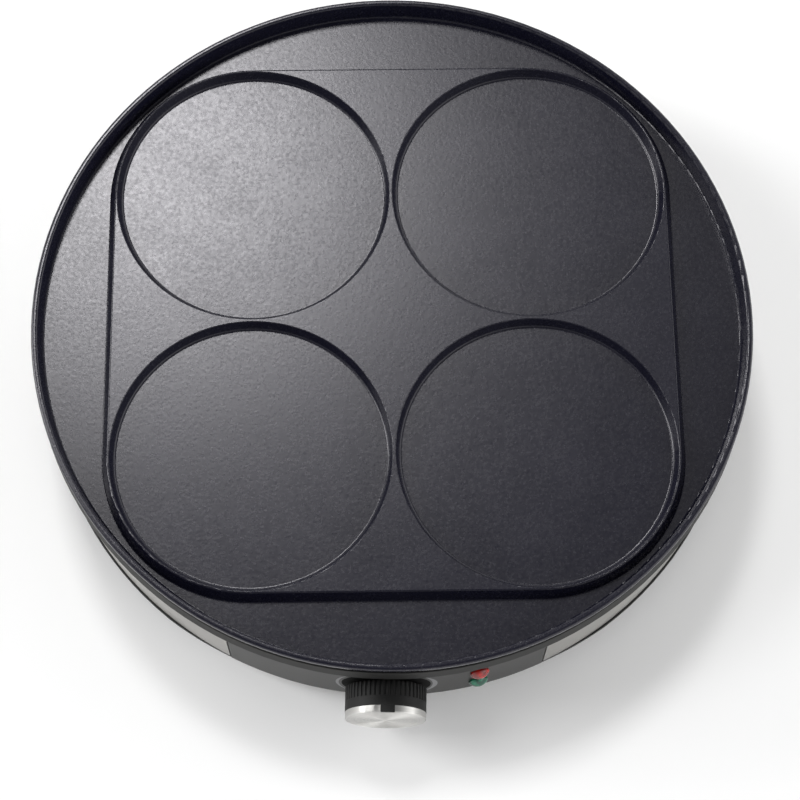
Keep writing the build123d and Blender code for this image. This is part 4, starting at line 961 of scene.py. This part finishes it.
@dataclass
class Knob:
    """Fluted knob with its pointer and spun cap, its spring and the shaft that it turns."""

    radius: float = 17.65 * MM
    length: float = 11.1 * MM
    shell: float = 2.2 * MM
    hub_radius: float = 6.2 * MM
    hub_inset: float = 1.0 * MM
    bore_radius: float = 3.05 * MM
    spigot_radius: float = 4.1 * MM
    spigot_depth: float = 1.5 * MM
    flute_count: int = 52
    flute_depth: float = 0.45 * MM
    flute_share: float = 0.32
    flute_length: float = 6.7 * MM
    flute_run_out: float = 0.1 * MM
    flute_gap: float = 0.05 * MM
    chamfer: float = 0.5 * MM
    chamfer_flute: float = 0.6
    front_chamfer: float = 0.15 * MM
    pointer_half: float = 3.05 * MM
    pointer_foot: float = 16.7 * MM
    pointer_radius: float = 17.55 * MM
    pointer_reach: float = 14.1 * MM
    pointer_root: float = 0.5 * MM
    pointer_bevel: float = 0.2 * MM
    pointer_turn: float = 3.0
    pointer_steps: int = 8
    cap_ring: float = 13.2 * MM
    around: int = 624

    def build(self) -> None:
        """Make the fluted body, and dress the cap, the spring and the shaft."""
        plastic = MouldedPlastic(
            "moulded_phenolic_knob", "#111111", "#151514", 0.58, 0.45 * MM, 0.008 * MM, 0.3
        )
        values = sizes_for(self, TurnedTree.SIZES) | {
            "Turn": (math.pi / 2, 0.0, 0.0),
            "Place": (0.0, KNOB_REAR_Y, KNOB_AXIS_Z),
        }
        piece = grow("fluted_knob_body", self.profile(), TurnedTree().tree, plastic, values)
        self.add_pointer(piece)
        seat(piece, Body.KNOB, "knob_plastic", "knob_body")
        cap = BrushedMetal(
            "spun_and_polished_aluminium_cap",
            "#dcdbd8",
            Lay.AROUND_KNOB,
            self.radius,
            roughness=0.45,
            line=0.3 * MM,
            line_length=30 * MM,
            line_height=0.002 * MM,
            stretch=0.95,
            ring=self.cap_ring,
        )
        dress(cap, "knob_cap")
        dress(BareMetal("rolled_spring_steel", "#a2a09c", "#85827c", 0.3), "knob_spring")
        dress(ZINC, "control_shaft")

    def profile(self) -> bpy.types.Mesh:
        """Return the closed profile, as radius and distance forward from the knob's rear edge.

        Returns:
            Mesh of points in order, each with its share of a flute's depth.
        """
        inner = self.radius - self.shell
        room = self.length - self.shell
        floor = self.length - self.spigot_depth
        points = [
            (self.bore_radius, self.hub_inset, 0),
            (self.hub_radius, self.hub_inset, 0),
            (self.hub_radius, room, 0),
            (inner, room, 0),
            (inner, 0, 0),
            (self.radius - self.chamfer, 0, self.chamfer_flute),
            (self.radius, self.chamfer, 1),
            (self.radius, self.flute_length / 2, 1),
            (self.radius, self.flute_length - self.flute_run_out, 1),
            (self.radius, self.flute_length + self.flute_gap, 0),
            (self.radius, self.length - self.front_chamfer, 0),
            (self.radius - self.front_chamfer, self.length, 0),
            (self.spigot_radius, self.length, 0),
            (self.spigot_radius, floor, 0),
            (0, floor, 0),
            (0, room, 0),
            (self.bore_radius, room, 0),
            (self.bore_radius, self.hub_inset, 0),
        ]
        mesh = bpy.data.meshes.new("knob_profile")
        mesh.from_pydata([(r, 0, z) for r, z, _ in points], [], [])
        fluted = mesh.attributes.new("fluted", "FLOAT", "POINT")
        for item, (_, _, share) in zip(fluted.data, points):
            item.value = share
        return mesh

    def add_pointer(self, piece: bpy.types.Object) -> None:
        """Add the pointer, a bar that fills the notch of the cap.

        Args:
            piece: Fluted body, whose mesh takes the bar.
        """
        half_turn = math.asin(self.pointer_half / self.pointer_radius)
        outline = [(-self.pointer_half, self.pointer_foot), (self.pointer_half, self.pointer_foot)]
        for step in range(self.pointer_steps + 1):
            turn = half_turn * (1 - 2 * step / self.pointer_steps)
            outline.append((self.pointer_radius * math.sin(turn), self.pointer_radius * math.cos(turn)))
        lean = math.radians(self.pointer_turn)
        shape = bmesh.new()
        rings = []
        for forward in (self.length - self.pointer_root, self.pointer_reach):
            ring = []
            for x, up in outline:
                turned_x = x * math.cos(lean) + up * math.sin(lean)
                turned_up = up * math.cos(lean) - x * math.sin(lean)
                ring.append(shape.verts.new((turned_x, KNOB_REAR_Y - forward, KNOB_AXIS_Z + turned_up)))
            rings.append(ring)
        root, tip = rings
        for i in range(len(outline)):
            j = (i + 1) % len(outline)
            shape.faces.new((root[i], root[j], tip[j], tip[i]))
        shape.faces.new(root[::-1])
        shape.faces.new(tip)
        front = [edge for edge in shape.edges if all(v in tip for v in edge.verts)]
        bmesh.ops.bevel(shape, geom=front, offset=self.pointer_bevel, segments=2, affect="EDGES")
        bmesh.ops.recalc_face_normals(shape, faces=shape.faces)
        shape.from_mesh(piece.data)
        shape.to_mesh(piece.data)
        shape.free()
        soften(piece.data)


@dataclass
class CastPlate:
    """Die-cast baking plate with its four hollows, coated all over."""

    finish: NonStickCoating = NonStickCoating()

    def build(self) -> None:
        """Dress the plate."""
        dress(self.finish, "baking_plate")


@dataclass
class Housing:
    """Shoulder ring, steel band, base, front panel and cord gland."""

    band_radius: float = 158 * MM

    def build(self) -> None:
        """Dress the pieces."""
        dress(MouldedPlastic("moulded_pbt_shoulder", "#161615", "#1b1b19", 0.55, gloss=0.35), "shoulder_ring")
        dress(MouldedPlastic("moulded_pp_base", "#131313", "#191919"), "base_pan")
        dress(MouldedPlastic("flexible_pvc_gland", "#101010", "#181817", 0.6), "cord_gland")
        dress(PrintedPanel(), "front_panel")
        band = BrushedMetal("brushed_stainless_band", "#b9b7b3", Lay.AROUND_BODY, self.band_radius, 0.3)
        dress(band, "steel_band")


@dataclass
class Indicators:
    """Red and green lenses with the lamps and washers behind them."""

    def build(self) -> None:
        """Dress the pieces."""
        dress(ClearLens("red_polycarbonate", "#c41c12", "#7a0e09"), "red_lens")
        dress(ClearLens("green_polycarbonate", "#078f68", "#034d3a"), "green_lens")
        dress(LampGlass(), "neon_lamps")
        dress(BareMetal("blued_spring_steel", "#6a6d78", "#4c4f5a", 0.32), "lens_washers")


@dataclass
class Heating:
    """Heating element with its beads and tabs, the heat shield, the sensor, the fuse and their clips."""

    def build(self) -> None:
        """Dress the pieces."""
        dress(BareMetal("annealed_steel_sheath", "#5e5850", "#453f3a", 0.48, 9 * MM), "heating_element")
        shield = BrushedMetal(
            "rolled_aluminised_shield",
            "#b4b4b0",
            Lay.ALONG_X,
            radius=1.0,
            roughness=0.36,
            line=0.5 * MM,
            line_length=40 * MM,
        )
        dress(shield, "heat_shield")
        ceramic = MouldedPlastic("pressed_steatite", "#dcd8ce", "#cfcabd", 0.55, 0.3 * MM, 0.01 * MM)
        dress(ceramic, "element_beads", "thermal_fuse")
        dress(ZINC, "element_tabs")
        dress(BareMetal("drawn_copper_sensor", "#c98a68", "#a8674a", 0.3), "sensor_bulb")
        dress(BareMetal("pressed_spring_clip", "#a8a7a3", "#8c8a85", 0.33), "bulb_clips", "fuse_clip")


@dataclass
class Thermostat:
    """Thermostat with its tabs, bush, nut, bracket and adjusting pin."""

    def build(self) -> None:
        """Dress the pieces."""
        phenolic = MouldedPlastic("pressed_phenolic_body", "#3a261c", "#452e22", 0.4, 0.8 * MM, 0.015 * MM)
        dress(phenolic, "thermostat_body")
        brass = BareMetal("turned_brass", "#c8a25c", "#a98443", 0.27)
        dress(brass, "thermostat_tabs", "thermostat_bush", "bush_nut", "adjusting_pin")
        dress(ZINC, "thermostat_bracket")


@dataclass
class Wiring:
    """Terminal block and the wires between it, the thermostat, the fuse, the element and the lamps."""

    sleeve_grain: tuple[float, float] = (0.5 * MM, 0.012 * MM)

    def build(self) -> None:
        """Dress the pieces."""
        block = MouldedPlastic("moulded_polyamide_block", "#dedbd0", "#d0cdc2", 0.35, 0.5 * MM, 0.008 * MM)
        dress(block, "terminal_block")
        brown = MouldedPlastic("brown_silicone_sleeve", "#4a2c1c", "#573524", 0.6, *self.sleeve_grain)
        dress(brown, "live_wire", "switched_wire")
        blue = MouldedPlastic("blue_silicone_sleeve", "#1f3f86", "#274a96", 0.6, *self.sleeve_grain)
        dress(blue, "neutral_wires")
        dress(StripedSleeve("green_yellow_silicone_sleeve", "#4c7a1c", "#c9b52a"), "earth_wire")
        grey = MouldedPlastic("grey_silicone_sleeve", "#8e8e8a", "#9c9c98", 0.6, 0.4 * MM, 0.01 * MM)
        dress(grey, "lamp_leads")


@dataclass(frozen=True)
class SoftLamp:
    """Square soft lamp, aimed at the cooker from far away."""

    name: str
    towards: tuple[float, float, float]
    distance: float
    side: float
    power: float
    aim: tuple[float, float, float] = (0.0, 0.0, 0.06)

    def build(self) -> None:
        """Make the lamp."""
        data = bpy.data.lights.new(self.name, "AREA")
        data.shape = "SQUARE"
        data.size = self.side
        data.energy = self.power
        away = Vector(self.towards).normalized()
        lamp = place(self.name, data)
        lamp.location = Vector(self.aim) + away * self.distance
        lamp.rotation_euler = away.to_track_quat("Z", "Y").to_euler()


@dataclass(frozen=True)
class WhitePaper(Finish):
    """Matt white paper, whose fibres scatter the light: no sheen, and white where it is seen far off."""

    name: str = "matt_white_paper"
    colour: str = "#ffffff"
    shade: float = 0.86
    roughness: float = 0.9
    lift: float = 0.09
    fade_start: float = 0.5
    fade_end: float = 2.0

    def inputs(self, tree: Tree) -> dict:
        """Return what feeds the shader."""
        rays = add(tree, "ShaderNodeLightPath").outputs
        seen = calc(tree, "MAXIMUM", rays["Is Camera Ray"], rays["Is Glossy Ray"])
        # Far from the cooker the floor fades into the white surround.
        reach = vector(tree, "LENGTH", object_point(tree))
        fade = remap(tree, reach, self.lift, 1.0, self.fade_start, self.fade_end, "SMOOTHSTEP")
        return {
            "Base Color": linear(self.colour, self.shade),
            "Roughness": self.roughness,
            "Specular IOR Level": 0.0,
            "Emission Color": WHITE,
            "Emission Strength": calc(tree, "MULTIPLY", seen, fade),
        }


@dataclass(frozen=True)
class Studio:
    """Pale floor, a soft lamp behind the cooker, two at its left, and a surround that is pale low down."""

    floor_half: float = 4.0
    paper: WhitePaper = WhitePaper()
    sky_strength: float = 1.5
    sky: tuple[tuple[float, float], ...] = (
        (0.0, 1.0),
        (0.32, 0.64),
        (0.56, 0.06),
        (0.76, 0.04),
        (0.9, 0.28),
        (1.0, 0.08),
    )
    right_strength: float = 2.0
    right_loss: float = 0.8
    right_start: float = 0.5
    right_end: float = 0.85
    front_loss: float = 0.45
    lamps: tuple[SoftLamp, ...] = (
        SoftLamp("key_lamp", (-0.1484, 0.4616, 0.8746), 4.0, 0.79, 53.0),
        SoftLamp("left_lamp", (-0.69, 0.06, 0.7), 4.0, 1.3, 45.0),
        SoftLamp("low_left_lamp", (-0.9, 0.2, 0.35), 4.0, 1.3, 56.0),
    )

    def build(self) -> None:
        """Make the floor, the lamps and the surround."""
        self.make_floor()
        for lamp in self.lamps:
            lamp.build()
        self.make_surround()

    def make_floor(self) -> None:
        """Make the floor."""
        half = self.floor_half
        corners = [(-half, -half, 0), (half, -half, 0), (half, half, 0), (-half, half, 0)]
        mesh = bpy.data.meshes.new("floor")
        mesh.from_pydata(corners, [], [(0, 1, 2, 3)])
        mesh.materials.append(self.paper.material())
        floor = place("floor", mesh)

    def make_surround(self) -> None:
        """Make the surround: pale near the horizon, brighter to the right, and white to the camera."""
        world = bpy.data.worlds.new("surround")
        bpy.context.scene.world = world
        world.use_nodes = True
        tree = world.node_tree
        tree.nodes.clear()
        parts = split(tree, add(tree, "ShaderNodeTexCoord").outputs["Generated"])
        rays = add(tree, "ShaderNodeLightPath").outputs
        sheen = rays["Is Glossy Ray"]
        shade = ramp(tree, parts["Z"], *((stop, linear("#ffffff", light)) for stop, light in self.sky))
        # Sheens see a dimmer surround in front and at the right than the floor does.
        front = calc(tree, "MINIMUM", parts["Y"], 0.0)
        kept = calc(tree, "MULTIPLY_ADD", front, calc(tree, "MULTIPLY", sheen, self.front_loss), 1.0)
        base = calc(tree, "MULTIPLY", calc(tree, "MULTIPLY", shade, kept), self.sky_strength)
        low = ramp(tree, parts["Z"], (self.right_start, WHITE), (self.right_end, BLACK))
        side = calc(tree, "MULTIPLY", calc(tree, "MAXIMUM", parts["X"], 0.0), low)
        strong = calc(tree, "MULTIPLY_ADD", sheen, -self.right_loss, self.right_strength)
        both = calc(tree, "MULTIPLY_ADD", side, strong, base)
        soft = give(tree, "ShaderNodeBackground", {"Strength": both, "Color": WHITE})
        white = give(tree, "ShaderNodeBackground", {"Strength": 1.0, "Color": WHITE})
        mixed = give(tree, "ShaderNodeMixShader", {0: rays["Is Camera Ray"], 1: soft, 2: white})
        add(tree, "ShaderNodeOutputWorld", {"Surface": mixed})


@dataclass(frozen=True)
class HighCamera:
    """Camera above and a little in front of the cooker."""

    lens: float = 98.62
    sensor: float = 36.0
    nearest: float = 0.05
    farthest: float = 50.0
    stand: tuple[float, float, float] = (0.00264, -0.35946, 0.96746)
    right: tuple[float, float, float] = (0.999855, 0.015460, 0.007068)
    up: tuple[float, float, float] = (-0.016943, 0.939975, 0.340827)

    def build(self) -> None:
        """Place the camera."""
        data = bpy.data.cameras.new("camera")
        data.sensor_width = self.sensor
        data.lens = self.lens
        data.clip_start = self.nearest
        data.clip_end = self.farthest
        camera = place("camera", data)
        right, up = Vector(self.right), Vector(self.up)
        turn = Matrix((right, up, right.cross(up))).transposed().to_4x4()
        camera.matrix_world = Matrix.Translation(self.stand) @ turn
        bpy.context.scene.camera = camera


def main() -> None:
    """Build everything in order."""
    logging.basicConfig(level=logging.INFO, format="%(message)s")
    bpy.context.scene.view_settings.view_transform = "Standard"
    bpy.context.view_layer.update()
    makers = (
        HighCamera(),
        Studio(),
        CastPlate(),
        Housing(),
        Knob(),
        Indicators(),
        Heating(),
        Thermostat(),
        Wiring(),
        Fixings(),
        Feet(),
    )
    for maker in makers:
        maker.build()
        log.info("%s is made", type(maker).__name__)


if __name__ == "__main__":
    main()
